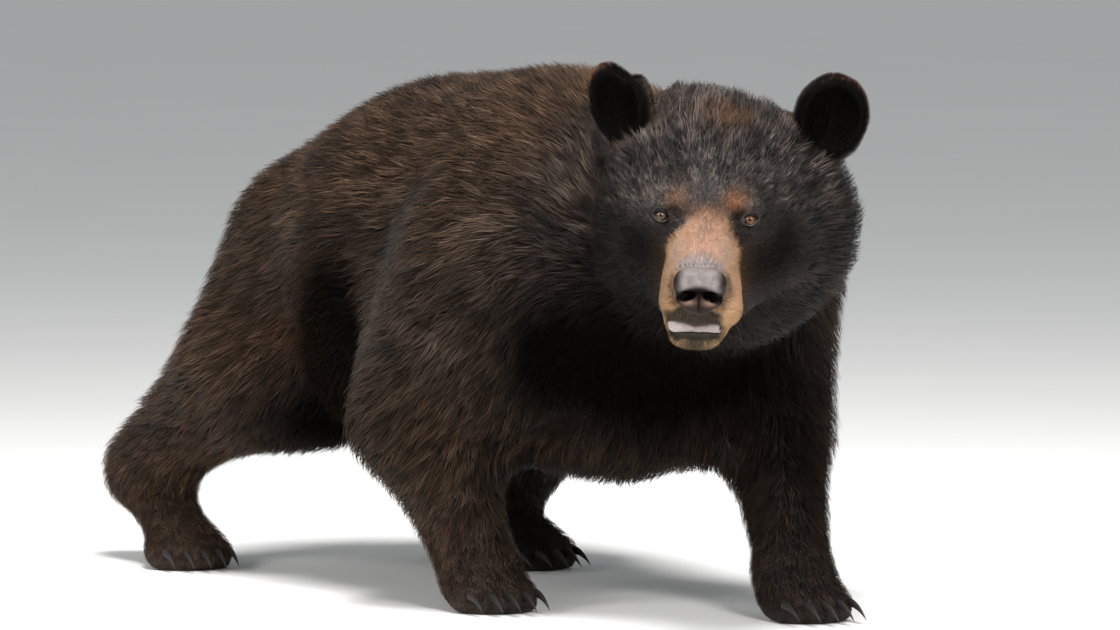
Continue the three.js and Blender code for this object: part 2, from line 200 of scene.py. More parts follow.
# ---- masses of the head, in millimetres
def egg(p, centre, radii):
    q = (p - np.array(centre)) / np.array(radii)
    reach = length_of(q)
    slope = length_of(q / np.array(radii))
    return reach * (reach - 1) / np.maximum(slope, 1e-9)


def limb(p, start, end, radius_start, radius_end):
    start = np.array(start, float)
    way = np.array(end, float) - start
    part = np.clip((p - start) @ way / (way @ way), 0, 1)
    gap = length_of(p - start - part[:, None] * way)
    return gap - radius_start - part * (radius_end - radius_start)


def blended(masses, reach):
    total = masses[0]
    for mass in masses[1:]:
        overlap = np.maximum(reach - np.abs(total - mass), 0) / reach
        total = np.minimum(total, mass) - overlap * overlap * reach / 4
    return total


def carved(mass, hollow, reach):
    """The mass without the hollow, with edges rounded over the reach."""
    return -blended([-mass, hollow], reach)


def head_mass(p):
    """The head drawn out to the tips of its coat."""
    s = SKULL_SHIFT
    skull = [
        egg(p, [s, 142, 8], [112, 125, 106]),
        egg(p, [s / 2, 62, 4], [74, 82, 52]),
        *(egg(p, [side * 66, 112, -45], [76, 88, 90]) for side in SIDES),
        *(egg(p, [side * 50, 30, 2], [30, 34, 24]) for side in SIDES),
        egg(p, [s, 190, -58], [184, 92, 160]),
        limb(p, [0, 130, -100], [0, 40, -96], 82, 52),
    ]
    p = on_face(p)
    snout = [
        limb(p, [0, 10, -32], [0, -91, -50], 45, 37),
        limb(p, [-19, -30, -70], [-22, -98, -77], 32, 29),
        limb(p, [18, -30, -73], [30, -98, -84], 30, 25),
        *(limb(p, [side * 14, 40, -98], [side * 13 - 4, -84, -119], 46, 23.5) for side in SIDES),
        egg(p, [0, -105, -50], [33, 24, 24]),
        egg(p, [-3, -105, -83], [24, 21, 24]),
    ]
    return blended([blended(skull, 46), blended(snout, 20)], 32)


def mouth_gap(p):
    """Negative in the parted lips, a slot across the front of the muzzle."""
    ahead = -p[:, 1]
    pinch = bell(p[:, 0] + 2, 14)
    middle = -111 + 0.30 * (np.maximum(ahead, 64) - 95) + 0.25 * np.maximum(64 - ahead, 0)
    middle = middle + 0.02 * p[:, 0] - 1.3 * pinch
    open_share = smooth_step(56, 74, ahead) * smooth_step(-38, -34, p[:, 0])
    open_share = open_share * smooth_step(29, 24.5, p[:, 0])
    half_height = 7.0 - 0.025 * p[:, 0] - 1.8 * pinch
    return np.abs(p[:, 2] - middle) - half_height * open_share + 1.0


def head_skin(p):
    """The skin of the head: under the coat, with lips, eye hollows and the bed of the nose."""
    mass = head_mass(p) + coat_depth_on_head(p)
    p = on_face(p)
    for side in SIDES:
        inner_corner = limb(p, [side * 47, -22, 14], [side * 40, -26, 21], 6, 3)
        mass = carved(mass, inner_corner, 7)
        mass = carved(mass, egg(p, [side * 47, -24, -12], [15, 8, 12]), 14)
        mass = blended([mass, egg(p, [side * 55, -4, 22], [18, 10, 7])], 10)
    mass = carved(mass, limb(p, [0, -129, -84], [0, -134, -74], 1.2, 1.6), 4)
    mass = carved(mass, egg(p, [0, -141, -56], [25, 21, 10]), 3)
    return carved(mass, mouth_gap(p), 3)


def ear_skin(p, side):
    """A cupped ear; the right one lacks a torn piece of its rim. In the ear's own frame."""
    cup = egg(p, [0, 0, 0], [EAR_HALF_WIDTH, 24, EAR_HALF_HEIGHT])
    whole = blended([cup, egg(p, [0, 5, -34], [41, 24, 36])], 12)
    if side < 0:
        whole = blended([whole, egg(p, [-19, 0, 22], [24, 16, 32])], 8)
    ear = carved(whole, egg(p, [0, -25, 3], [39, 27, 46]), 5)
    if side < 0:
        torn_edge = -((p[:, 0] + 12) * 0.66 + (p[:, 2] - 53) * 0.75)
        lobe_edge = p[:, 0] - 17 - 0.2 * (p[:, 2] - 24)
        ear = carved(ear, np.maximum(torn_edge, lobe_edge), 5)
    return ear


def coat_depth_on_head(p):
    """How far the coat's tips stand above the skin, from the nose back to the ruff."""
    behind_nose = distance(p, [0, -116, -50])
    return 2.6 + 11.4 * smooth_step(112, 330, behind_nose)


def coat_depth(points):
    """The coat's depth in mm anywhere on the bear."""
    head = in_head(points)
    height = points[:, 2] / MM
    body = 1.0 + 6 * smooth_step(4, 50, height) + 9 * smooth_step(60, 260, height)
    depth = body + (coat_depth_on_head(head) - body) * smooth_step(330, 260, length_of(head))
    for side in SIDES:
        near = smooth_step(78, 58, distance(in_ear(head, side), EAR_MIDDLE))
        depth = depth + (3.5 - depth) * near
    return depth


# ---- meshes to and from arrays
def arrays_of(mesh):
    """Vertices and triangles of a mesh."""
    mesh.calc_loop_triangles()
    co = np.zeros(len(mesh.vertices) * 3)
    mesh.vertices.foreach_get("co", co)
    corners = np.zeros(len(mesh.loop_triangles) * 3, np.int32)
    mesh.loop_triangles.foreach_get("vertices", corners)
    return co.reshape(-1, 3), corners.reshape(-1, 3)


def edges_of(mesh):
    edges = np.zeros(len(mesh.edges) * 2, np.int32)
    mesh.edges.foreach_get("vertices", edges)
    return edges.reshape(-1, 2)


def set_places(mesh, co):
    mesh.vertices.foreach_set("co", np.ascontiguousarray(co, np.float32).ravel())
    mesh.update()


def normals_of(mesh):
    normals = np.zeros(len(mesh.vertices) * 3, np.float32)
    mesh.vertex_normals.foreach_get("vector", normals)
    return normals.reshape(-1, 3).astype(float)


def write_values(mesh, name, values):
    layer = mesh.attributes.new(name, "FLOAT", "POINT")
    layer.data.foreach_set("value", np.ascontiguousarray(values, np.float32))


def neighbour_mean(values, edges, degree):
    """The mean of each vertex's neighbours."""
    total = np.zeros_like(values)
    a, b = edges[:, 0], edges[:, 1]
    many = len(values)
    for k in range(values.shape[1]):
        total[:, k] = np.bincount(a, values[b, k], many) + np.bincount(b, values[a, k], many)
    return total / degree[:, None]


RELAX_STEP = 0.6  # share of the way to the neighbours' mean in one round


def relax(values, edges, rounds, strength):
    """Evens values out over the mesh; strength is for each vertex, from 0 to 1."""
    degree = np.bincount(edges.ravel(), minlength=len(values)).astype(float)
    for _ in range(rounds):
        away = neighbour_mean(values, edges, degree) - values
        values = values + strength[:, None] * RELAX_STEP * away
    return values


def places_of(bm):
    return np.array([vert.co for vert in bm.verts])


def move_to(bm, places):
    for vert, place in zip(bm.verts, places):
        vert.co = place


def object_of(name, mesh):
    made = bpy.data.objects.new(name, mesh)
    bpy.context.scene.collection.objects.link(made)
    return made


def finished(name, bm, material, smooth=True):
    """The bmesh as an object on the bear's body."""
    bmesh.ops.recalc_face_normals(bm, faces=bm.faces)
    if bm.calc_volume(signed=True) < 0:
        bmesh.ops.reverse_faces(bm, faces=bm.faces)
    mesh = bpy.data.meshes.new(name)
    bm.to_mesh(mesh)
    bm.free()
    mesh.polygons.foreach_set("use_smooth", [smooth] * len(mesh.polygons))
    mesh.materials.append(material)
    made = object_of(name, mesh)
    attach(made, "root")
    return made


def remake(made, **settings):
    """Applies one modifier and leaves its result as the object's mesh."""
    kind = settings.pop("kind")
    modifier = made.modifiers.new(kind.lower(), kind)
    for name, value in settings.items():
        setattr(modifier, name, value)
    depsgraph = bpy.context.evaluated_depsgraph_get()
    result = bpy.data.meshes.new_from_object(made.evaluated_get(depsgraph))
    made.modifiers.clear()
    old = made.data
    made.data = result
    bpy.data.meshes.remove(old)


# ---- skin
def joined_flesh():
    """The flesh nodes as one bmesh of overlapping closed lumps."""
    bm = bmesh.new()
    for node in [*FLESH, "nose", "right_eye", "left_eye"]:
        part = bmesh.new()
        part.from_mesh(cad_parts[node].data)
        bmesh.ops.remove_doubles(part, verts=part.verts, dist=1e-5)
        part.normal_update()
        for vert in part.verts:
            vert.co += vert.normal * JOIN_GROWTH
        lump = bpy.data.meshes.new(node)
        part.to_mesh(lump)
        part.free()
        bm.from_mesh(lump)
        bpy.data.meshes.remove(lump)
    return bm


def smoothing_strength(points):
    """Full on the trunk, whose facets are largest, and faint on feet and ears."""
    head = in_head(points)
    height = points[:, 2] / MM
    strength = 0.08 + 0.35 * smooth_step(60, 130, height) + 0.57 * smooth_step(240, 340, height)
    on_head = smooth_step(300, 220, distance(head, BROW_MIDDLE))
    strength = strength + (0.3 - strength) * on_head
    for side in SIDES:
        near = smooth_step(86, 66, distance(in_ear(head, side), EAR_MIDDLE))
        strength = strength + (0.03 - strength) * near
    return strength


def settle(points, field, weight, rounds=5):
    """Moves points, in mm, onto the surface where the field is zero."""
    step = 0.5
    for _ in range(rounds):
        value = field(points)
        slopes = [field(points + step * axis) - field(points - step * axis) for axis in np.eye(3)]
        slope = np.stack(slopes, axis=1) / (2 * step)
        size = np.maximum(np.sum(slope * slope, axis=1), 0.05)
        move = np.clip(value / size, -6, 6)
        points = points - (weight * move)[:, None] * slope
    return points


def subdivide_where(mesh, chosen):
    """Splits in four the faces whose corners are all chosen."""
    bm = bmesh.new()
    bm.from_mesh(mesh)
    bm.verts.ensure_lookup_table()
    edges = [e for e in bm.edges if chosen[e.verts[0].index] and chosen[e.verts[1].index]]
    bmesh.ops.subdivide_edges(bm, edges=edges, cuts=1, use_grid_fill=True)
    bm.to_mesh(mesh)
    bm.free()


def ear_share(head):
    """How much each point belongs to the free part of an ear, for the right and the left ear."""
    shares = {}
    for side in SIDES:
        local = in_ear(head, side)
        inside = smooth_step(84, 70, length_of(local * np.array([1, 1.6, 1])))
        shares[side] = inside * smooth_step(-46, -22, local[:, 2])
    return shares


def settle_head(co, rounds):
    head = in_head(co)
    shares = ear_share(head)
    face = smooth_step(100, 50, head[:, 1]) * smooth_step(-330, -250, -length_of(head))
    picked = face > 0.001
    head[picked] = settle(head[picked], head_skin, face[picked], rounds)
    for side in SIDES:
        picked = shares[side] > 0.001
        origin, axes = ear_place(side)
        local = (head[picked] - origin) @ axes
        local = settle(local, lambda p: ear_skin(p, side), shares[side][picked], rounds)
        head[picked] = local @ axes.T + origin
    return from_head(head)


def distance_to_path(points, path):
    """Distance from each point to a line through the path's points, in metres."""
    nearest = np.full(len(points), 9.0)
    path = np.array(path, float) * MM
    for start, end in zip(path[:-1], path[1:]):
        way = end - start
        part = np.clip((points - start) @ way / (way @ way), 0, 1)
        nearest = np.minimum(nearest, length_of(points - start - part[:, None] * way))
    return nearest


SMOOTHING_ROUNDS, LEVELLING_ROUNDS, ARMPIT_ROUNDS = 36, 24, 60

# Folds of the skin: their lines, in mm, then half width and depth.
CHEEK_FOLD = [[-60, -330, 660], [-118, -385, 600], [-150, -395, 520], [-148, -398, 450]]
CHEEK_FOLD += [[-110, -425, 380]]
FOLDS = [
    (CHEEK_FOLD, 24, 22),
    ([[-262, 70, 470], [-262, 55, 400], [-250, 45, 340], [-262, -20, 270]], 26, 13),
    ([[262, 40, 470], [262, 20, 400], [250, 0, 330]], 26, 12),
    ([[-205, 250, 430], [-235, 235, 380], [-240, 190, 300]], 24, 10),
]
ARMPIT = ([112, -330, 222], [48, 48, 45])  # mm, where chest and foreleg are evened out

# Places where the skin swells, in mm, with radii and height: the nape, the belly and the rump.
SWELLINGS = [
    (from_head([-46, 163, 110]) / MM, [52, 60, 50], 23),
    ([-180, 70, 200], [120, 170, 80], 26),
    ([-235, 75, 225], [60, 110, 60], 20),
    ([-140, 310, 195], [90, 90, 60], 24),
    ([0, 592, 455], [45, 40, 55], 9),
]


def make_skin():
    bm = joined_flesh()
    mesh = bpy.data.meshes.new("skin")
    bm.to_mesh(mesh)
    bm.free()
    flesh_co, flesh_triangles = arrays_of(mesh)
    tree = BVHTree.FromPolygons(flesh_co.tolist(), flesh_triangles.tolist())
    skin = object_of("skin", mesh)
    remake(skin, kind="REMESH", mode="VOXEL", voxel_size=VOXEL, adaptivity=0.0)
    mesh = skin.data

    co, _ = arrays_of(mesh)
    edges = edges_of(mesh)
    co = relax(co, edges, SMOOTHING_ROUNDS, smoothing_strength(co))
    set_places(mesh, co)
    normals = normals_of(mesh)
    above = np.zeros(len(co))
    for k, point in enumerate(co):
        found, _, _, _ = tree.find_nearest(point)
        above[k] = np.dot(point - np.array(found), normals[k]) / MM
    above = relax(above[:, None], edges, LEVELLING_ROUNDS, np.full(len(co), 0.9))[:, 0]
    co = co - normals * ((coat_depth(co) + above) * MM)[:, None]
    set_places(mesh, co)

    head = in_head(co)
    fine = (head[:, 1] < 62) & (length_of(head) < 260)
    for side in SIDES:
        local = in_ear(head, side)
        fine |= (length_of(local) < 74) & (local[:, 2] > -34)
    subdivide_where(mesh, fine)
    co, _ = arrays_of(mesh)
    set_places(mesh, settle_head(co, 3))
    co, _ = arrays_of(mesh)
    head = in_head(co)
    finest = (np.abs(head[:, 0]) < 86) & (head[:, 1] < 20) & (head[:, 2] > -150) & (head[:, 2] < 40)
    subdivide_where(mesh, finest)
    co, _ = arrays_of(mesh)
    co = settle_head(co, 4)
    co = relax(co, edges_of(mesh), 2, 0.5 * (length_of(in_head(co)) < 260))
    set_places(mesh, co)

    normals = normals_of(mesh)
    for path, half_width, depth in FOLDS:
        near = bell(distance_to_path(co, path), half_width * MM)
        co = co - normals * (near * depth * MM)[:, None]
    co = relax(co, edges_of(mesh), ARMPIT_ROUNDS, bump_at(co / MM, *ARMPIT))
    free = 1 - strongest(*ear_share(in_head(co)).values())
    for centre, radii, height in SWELLINGS:
        co = co + normals * (bump_at(co / MM, centre, radii) * free * height * MM)[:, None]
    co[:, 2] = np.maximum(co[:, 2], SKIN_LIFT)
    set_places(mesh, co)
    return skin


# ---- markings
GAZE = turned(-17)  # the eyes look up from the lowered head
BROWS = ((-1, 0.5), (1, 0.9))  # side of each rust brow, and its strength


def eye_place(side):
    """Centre of an eyeball in the head's frame."""
    return np.array([FACE_SHIFT + side * (EYE_SPACING / 2 - 1), -6.5, 3 + 0.4 * side])


def spots(points, rows):
    """The sum of soft spots, each with its strength, centre and radii in mm."""
    return sum(strength * bump_at(points, centre, radii) for strength, centre, radii in rows)


def both_sides(p, strength, centre, radii):
    """One soft spot on each side of the face."""
    x, y, z = centre
    return spots(p, [(strength, [side * x, y, z], radii) for side in SIDES])


# Painted shade, as black coat: the flank between the legs, and the chest and left foreleg under the
# head.
GROIN_SHADE = [
    (1.3, [-255, 95, 345], [80, 60, 105]),
    (1.3, [-200, 60, 230], [140, 150, 70]),
    (0.9, [-240, 180, 320], [60, 55, 60]),
    (1.0, [-165, 230, 225], [100, 130, 55]),
    (1.2, [-230, 58, 325], [60, 45, 95]),
]
CHEST_SHADE = [
    (1.0, [-60, -400, 330], [140, 130, 150]),
    (0.8, [-170, -345, 330], [60, 70, 110]),
    (0.75, [170, -400, 260], [90, 90, 160]),
    (0.6, [40, -385, 330], [110, 90, 70]),
]


def ear_marks(head):
    """The ears, their rims and their insides."""
    ears, rim, inside = np.zeros((3, len(head)))
    for side in SIDES:
        local = in_ear(head, side)
        near = smooth_step(80, 62, length_of(local))
        reach = ear_reach(local)
        ears = np.maximum(ears, near)
        outer = smooth_step(-30, 0, local[:, 2]) * smooth_step(24, -4, -side * local[:, 0])
        facing = smooth_step(15, 8, local[:, 1])
        edge = smooth_step(0.84, 0.98, reach) * near * outer * (0.4 + 0.6 * facing)
        rim = np.maximum(rim, edge)
        inside = np.maximum(inside, smooth_step(1.04, 0.92, reach) * near * facing)
    return ears, rim, inside


def muzzle_marks(head, p, around_eyes):
    """Tan, pink, grey and dark of the muzzle, soft-edged; the dark holds painted shade on its right
    side.
    """
    x, y, z = p.T
    edge = 6 * drift(p, 15, 11) + 4 * drift(p, 5, 21)
    low_down = smooth_step(4, -34, z)
    off_bridge = np.abs(x - 4 + 7 * low_down) - 20 - 24 * low_down
    bridge = 46 * smooth_step(12, -12, off_bridge + edge) * smooth_step(-75, -25, z)
    tan = smooth_step(-12, 12, -y - 36 + bridge + edge) * smooth_step(-150, -134, z + 0.4 * edge)
    tan *= smooth_step(28, -24, z + 1.3 * edge) * (1 - np.minimum(1.3 * around_eyes, 1))
    pink = bell(x, 30) * smooth_step(-64, -48, z)
    pink = np.maximum(pink, 0.8 * bump_at(p, [48, -90, -58], [16, 40, 26]))

    nose = nose_mass(head)
    off_nose = nose + 0.6 * edge
    above_nose = smooth_step(30, 6, off_nose + 0.8 * edge) * smooth_step(-46, -34, z)
    above_nose *= smooth_step(36, 24, np.abs(x))
    smudges = sum(0.6 * bump_at(p, [side * 29 - 2, -62, -28], [10, 40, 22]) for side in SIDES)
    smudges += 0.2 * smooth_step(0.05, 0.6, drift(p, 13, 81) + 0.5 * drift(p, 4, 84))
    grey = strongest(above_nose, 0.5 * around_eyes, smudges * smooth_step(-80, -60, z))

    across = smooth_step(40, 30, np.abs(x + 5) + 0.5 * edge)
    lip_top = -70 - 12 * smooth_step(14, 30, np.abs(x + 4))
    upper_lip = 0.97 * across * smooth_step(4, -5, z + 0.4 * edge - lip_top)
    upper_lip *= smooth_step(-114, -110, z)
    lower_lip = smooth_step(40, 28, np.abs(x + 5)) * smooth_step(-130, -123, z + 0.4 * edge)
    lips = np.maximum(upper_lip, lower_lip * (z < -104)) * (y < -66)
    chin = 0.97 * bump_at(p, [-4, -104, -132], [25, 29, 15])
    # painted shade on the right side of the muzzle
    shaded = 0.4 * bump_at(p, [-46, -95, -62], [14, 45, 32])
    beside_nose = 0.75 * (smooth_step(12, 1.5, off_nose) - above_nose)
    nose_crease = 0.7 * smooth_step(3.4, 0.6, nose)
    return tan, pink, grey, strongest(lips, chin, beside_nose, shaded, nose_crease)


def brown_marks(points, place, p, ears):
    """The brown of back, rump and thighs, faint on the arms and the ears; brown painted light on the
    neck.
    """
    height, behind = place[:, 2], place[:, 1]
    brown = smooth_step(260, 520, height + 60 * drift(points, 0.12, 5))
    brown *= smooth_step(-420, -200, behind)
    brown = np.maximum(brown, 0.85 * smooth_step(280, 420, behind))
    brown = brown * (1 - 0.95 * bump_at(place, [-255, -85, 470], [80, 130, 110]))
    brown = brown * (1 - 0.7 * bump_at(p, [-20, 130, 100], [70, 50, 45]))
    brown = np.maximum(brown * (1 - 0.7 * ears), 0.35 * ears)
    arms = smooth_step(380, 240, height) * (behind < 0)
    arms *= 0.4 + 0.6 * smooth_step(-150, -215, place[:, 0])
    thigh = bump_at(place, [-285, 320, 350], [70, 110, 110])
    # painted light: the lit bulge on the side of the neck, as brown hair
    lit_neck_side = bump_at(place, [-145, -375, 565], [45, 50, 90])
    return strongest(brown, 0.7 * arms, 0.95 * thigh, 0.8 * lit_neck_side)


def markings(points):
    """How strongly each marking, painted shade and painted sheen shows at each point, from 0 to 1."""
    head, place = in_head(points), points / MM
    p = on_face(head)
    around_eyes = np.zeros(len(points))
    hollows = np.zeros(len(points))
    for side in SIDES:
        around_eyes += bump_at(head, eye_place(side) + np.array([side * 3, -6, -4]), [17, 24, 16])
        # painted shade, as black coat, in the hollows above the inner corners of the eyes
        hollows += 1.3 * bump_at(p, [side * 39 + 1, -27, 12], [10, 14, 8])
    ears, rim, ear_inside = ear_marks(head)
    tan, pink, grey, dark = muzzle_marks(head, p, around_eyes)

    between_brows = bump_at(p, [3, -26, 12], [26, 16, 12])
    crown = bump_at(p + drift_vectors(p, 12, 31) * 9, [20, 96, 104], [34, 26, 16])
    stifle = bump_at(place, [-248, 200, 335], [50, 60, 34])
    brows = [strength * bump_at(p, [side * 35, -10, 25], [15, 30, 13]) for side, strength in BROWS]
    cheeks = [0.7 * bump_at(p, [side * 54, -24, -64], [16, 34, 30]) for side in SIDES]
    rust = strongest(*brows, *cheeks, 0.6 * between_brows, 0.5 * crown, 0.45 * stifle, 0.5 * rim)

    # Painted shade, as black coat: along the fold of cheek and neck, under the cheeks, and at the
    # head's edge.
    cheek_fold_shade = 0.6 * bell(distance_to_path(points, CHEEK_FOLD), 20 * MM)
    under_cheek_shade = both_sides(p, 0.7, [84, 20, -50], [40, 60, 50])
    cheek_edge_shade = 0.7 * bump_at(p, [-130, 110, -20], [24, 70, 85])
    fold_shade = strongest(cheek_fold_shade, under_cheek_shade, cheek_edge_shade)
    black = strongest(ear_inside, hollows, spots(place, GROIN_SHADE), spots(place, CHEST_SHADE), fold_shade)

    # Painted sheen, as grey hair: over the top of the head, brightest on the crown, and on shoulder and
    # neck.
    silver_sheen = smooth_step(-40, 50, p[:, 2]) * smooth_step(300, 180, distance(p, [0, 60, 30]))
    silver_sheen = np.maximum(1.15 * silver_sheen, 1.9 * crown) * (1 - 0.8 * between_brows) * (1 - 0.9 * ears)
    shoulder = 0.4 * bump_at(place, [-210, -290, 415], [80, 110, 110])
    neck = 0.6 * bump_at(place, [-132, -350, 530], [36, 45, 60])
    # round the eyes: grey short hair, partly painted sheen
    lids = 0.7 * np.minimum(around_eyes, 1)
    torn = bump_at(in_ear(head, -1), [11, -6, 26], [9, 14, 7])
    return {
        "tan": strongest(tan, 0.4 * torn, 0.15 * crown),
        "pink": pink,
        "grey": grey,
        "rust": rust,
        "brown": brown_marks(points, place, p, ears),
        "silver_sheen": strongest(silver_sheen, shoulder, neck, lids),
        # dark: lips, chin and skin beside the nose, with painted shade on the muzzle's right side
        "dark": dark,
        # black: the dark insides of the ears, and painted shade in eye hollows, skin fold lines, flank
        # and chest
        "black": np.minimum(black, 1),
    }


def bareness(points):
    """1 where no hair grows: lips, lids and the bed of the nose."""
    head = in_head(points)
    p = on_face(head)
    gap = mouth_gap(p)
    front = smooth_step(74, 90, -p[:, 1])
    bare = smooth_step(3.0, 1.0, gap) * front
    for side in SIDES:
        off_eye = (head - eye_place(side)) @ GAZE * np.array([0.85, 0.3, 1])
        bare = np.maximum(bare, smooth_step(9.9, 8.6, length_of(off_eye)))
    return np.maximum(bare, smooth_step(1.2, -0.2, nose_mass(head)))


# ---- nose
def nose_mass(p):
    """The nose pad, broad and flat on top, before its nostrils are opened."""
    p = on_face(p, NOSE_SHIFT)
    masses = [limb(p, [-16, -123, -45], [16, -123, -45], 17, 17), egg(p, [0, -116, -52], [31, 18, 22])]
    masses += [egg(p, [side * 15, -130, -63], [14, 12, 11]) for side in SIDES]
    masses += [egg(p, [0, -128, -66], [12, 11, 12]), egg(p, [0, -126, -71], [18, 10, 11])]
    return blended(masses, 6)


def nostril_arch(p):
    """Height of each point, in mm, above the arched edge that overhangs the nostrils."""
    aside = np.abs(p[:, 0] - NOSE_SHIFT)
    return p[:, 2] + 50 + 11 * (aside / 28) ** 2


def nose_surface(p):
    nose = nose_mass(p)
    p = on_face(p, NOSE_SHIFT)
    for side in SIDES:
        nose = carved(nose, limb(p, [0, -148, -54], [side * 28, -139, -63], 7.5, 5), 3)
        nose = carved(nose, egg(p, [side * 13.5, -141, -57], [10, 12, 5.6]), 2.5)
        nose = carved(nose, limb(p, [side * 20, -143, -57], [side * 31, -132, -56], 4.4, 2.8), 2.5)
        nose = carved(nose, limb(p, [side * 31, -132, -55], [side * 33, -122, -64], 2.0, 1.4), 2.5)
    nose = carved(nose, limb(p, [0, -146, -46], [0, -128, -26], 0.6, 0.8), 4)
    return carved(nose, limb(p, [0, -146, -60], [0, -136, -84], 2.6, 1.8), 3)


def paint_nose(nose):
    """Painted shade in the nostrils, painted grey sheen on the top, pink wings under the nostrils with
    a painted wet highlight.
    """
    places, _ = arrays_of(nose.data)
    p = in_head(places)
    x, above = p[:, 0] - NOSE_SHIFT, nostril_arch(p)
    # painted shade, black: in the nostrils, under the arch over them, and in the groove below
    under_arch_shade = 0.96 * bell(above + 2.5, 5.5) * (p[:, 1] < -124)
    cleft = 0.8 * bell(x, 1.8) * (above < -6)
    hollow = strongest(smooth_step(1.0, 3.5, -nose_mass(p)), under_arch_shade, cleft)
    write_values(nose.data, "hollow", hollow)
    # painted sheen on the flat top of the pad, fainter near its upper edge
    sheen_fading = 1 - 0.4 * smooth_step(-44, -33, p[:, 2])
    write_values(nose.data, "top", smooth_step(1, 10, above) * smooth_step(30, 18, np.abs(x)) * sheen_fading)
    # pink wings under the nostrils, lightened partly as a painted wet highlight
    wings = sum(bump_at(p, [NOSE_SHIFT + side * 13.5, -141, -65], [8, 12, 4.5]) for side in SIDES)
    write_values(nose.data, "wing", np.minimum(wings, 1))


def make_nose(material):
    bm = bmesh.new()
    bmesh.ops.create_icosphere(bm, subdivisions=6, radius=1.0)
    core = np.array([NOSE_SHIFT, -118, -54.0])
    ways = places_of(bm)
    reach = np.full(len(ways), 60.0)
    inside = np.zeros(len(ways), bool)
    for step in np.arange(60, 4, -1.0):
        inside |= nose_surface(core + ways * step) < 0
        reach = np.where(inside, reach, step)
    near, far = reach - 1.0, reach
    for _ in range(7):
        middle = (near + far) / 2
        solid = nose_surface(core + ways * middle[:, None]) < 0
        near = np.where(solid, middle, near)
        far = np.where(solid, far, middle)
    move_to(bm, from_head(core + ways * near[:, None]))
    nose = finished("nose_leather", bm, material)
    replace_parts(nose, "nose")
    return nose


# ---- studio
VIEW_TARGET = Vector((-0.1933, -0.4376, 0.400))
VIEW_AZIMUTH, VIEW_ELEVATION = -28.0, 4.0
VIEW_DISTANCE = 10.0
FRAME_WIDTH = 1.4  # metres across the picture at the target
SENSOR = 36.0
FLOOR_RADIUS = 70


def make_camera():
    azimuth, elevation = math.radians(VIEW_AZIMUTH), math.radians(VIEW_ELEVATION)
    level = math.cos(elevation)
    back = Vector((math.sin(azimuth) * level, -math.cos(azimuth) * level, math.sin(elevation)))
    data = bpy.data.cameras.new("camera")
    data.sensor_width = SENSOR
    data.lens = SENSOR * VIEW_DISTANCE / FRAME_WIDTH
    data.clip_end = 200
    camera = bpy.data.objects.new("camera", data)
    camera.location = VIEW_TARGET + back * VIEW_DISTANCE
    camera.rotation_euler = back.to_track_quat("Z", "Y").to_euler()
    bpy.context.scene.collection.objects.link(camera)
    bpy.context.scene.camera = camera


def make_lamp(name, place, size, power):
    data = bpy.data.lights.new(name, "AREA")
    data.shape = "DISK"
    data.size = size
    data.energy = power
    lamp = bpy.data.objects.new(name, data)
    lamp.location = place
    lamp.rotation_euler = (Vector(place) - VIEW_TARGET).to_track_quat("Z", "Y").to_euler()
    bpy.context.scene.collection.objects.link(lamp)


def make_studio(floor_material):
    bm = bmesh.new()
    bmesh.ops.create_circle(bm, cap_ends=True, segments=96, radius=FLOOR_RADIUS)
    mesh = bpy.data.meshes.new("floor")
    bm.to_mesh(mesh)
    bm.free()
    mesh.materials.append(floor_material)
    object_of("floor", mesh)
    world = bpy.data.worlds.new("studio")
    world.use_nodes = True
    world.node_tree.nodes["Background"].inputs["Color"].default_value = (0.94, 0.97, 1.0, 1)
    world.node_tree.nodes["Background"].inputs["Strength"].default_value = 0.46
    bpy.context.scene.world = world
    make_lamp("top_lamp", (-0.6, -1.2, 4.4), 1.8, 300)
    make_lamp("face_lamp", (-0.6, -5.0, 3.0), 1.4, 190)
    make_lamp("side_lamp", (-4.2, -0.6, 2.6), 1.6, 90)
    bpy.context.scene.view_settings.view_transform = "Standard"


# ---- coat
def lie_strokes():
    """How the coat lies: a place in mm, the way its hair points there, and how far that holds."""
    strokes = [
        ((0, -330, 690), (0, 1, 0), 120),
        ((0, 0, 700), (0, 1, 0), 220),
        ((0, 380, 620), (0, 1, -0.3), 160),
        ((0, 560, 470), (0, 0.5, -1), 140),
        ((0, 100, 170), (0, 1, -0.1), 200),
        ((-240, 60, 250), (0, 0.3, -1), 60),
        ((0, -380, 300), (0, 0.35, -1), 140),
        ((0, -430, 400), (0, 0.8, -0.7), 100),
        ((-260, -190, 430), (-0.15, 0.85, -0.65), 120),
        ((-300, -90, 290), (-0.1, 0.8, -0.7), 100),
        ((-220, -130, 180), (-0.25, 0.6, -0.85), 80),
        ((-150, -170, 40), (0, -0.8, -0.5), 60),
        ((200, -260, 460), (0.15, 0.7, -0.75), 120),
        ((200, -340, 300), (0.25, 0.35, -1), 90),
        ((170, -410, 170), (0.15, 0.4, -1), 80),
        ((150, -450, 40), (0, -0.8, -0.5), 60),
        ((-300, 520, 170), (-0.25, 1, -0.35), 90),
        ((-262, 560, 50), (0, -0.8, -0.6), 60),
        ((180, 360, 180), (0.2, 0.8, -0.8), 90),
        ((150, 320, 40), (0, -0.8, -0.6), 60),
    ]
    for side in SIDES:
        strokes += [
            ((side * 180, -330, 560), (side * 0.2, 1, -0.35), 110),
            ((side * 270, 50, 450), (0, 1, -0.35), 170),
            ((side * 250, 250, 330), (0, 0.9, -0.55), 120),
            ((side * 230, 400, 400), (side * 0.1, 0.75, -0.8), 120),
        ]
    return strokes


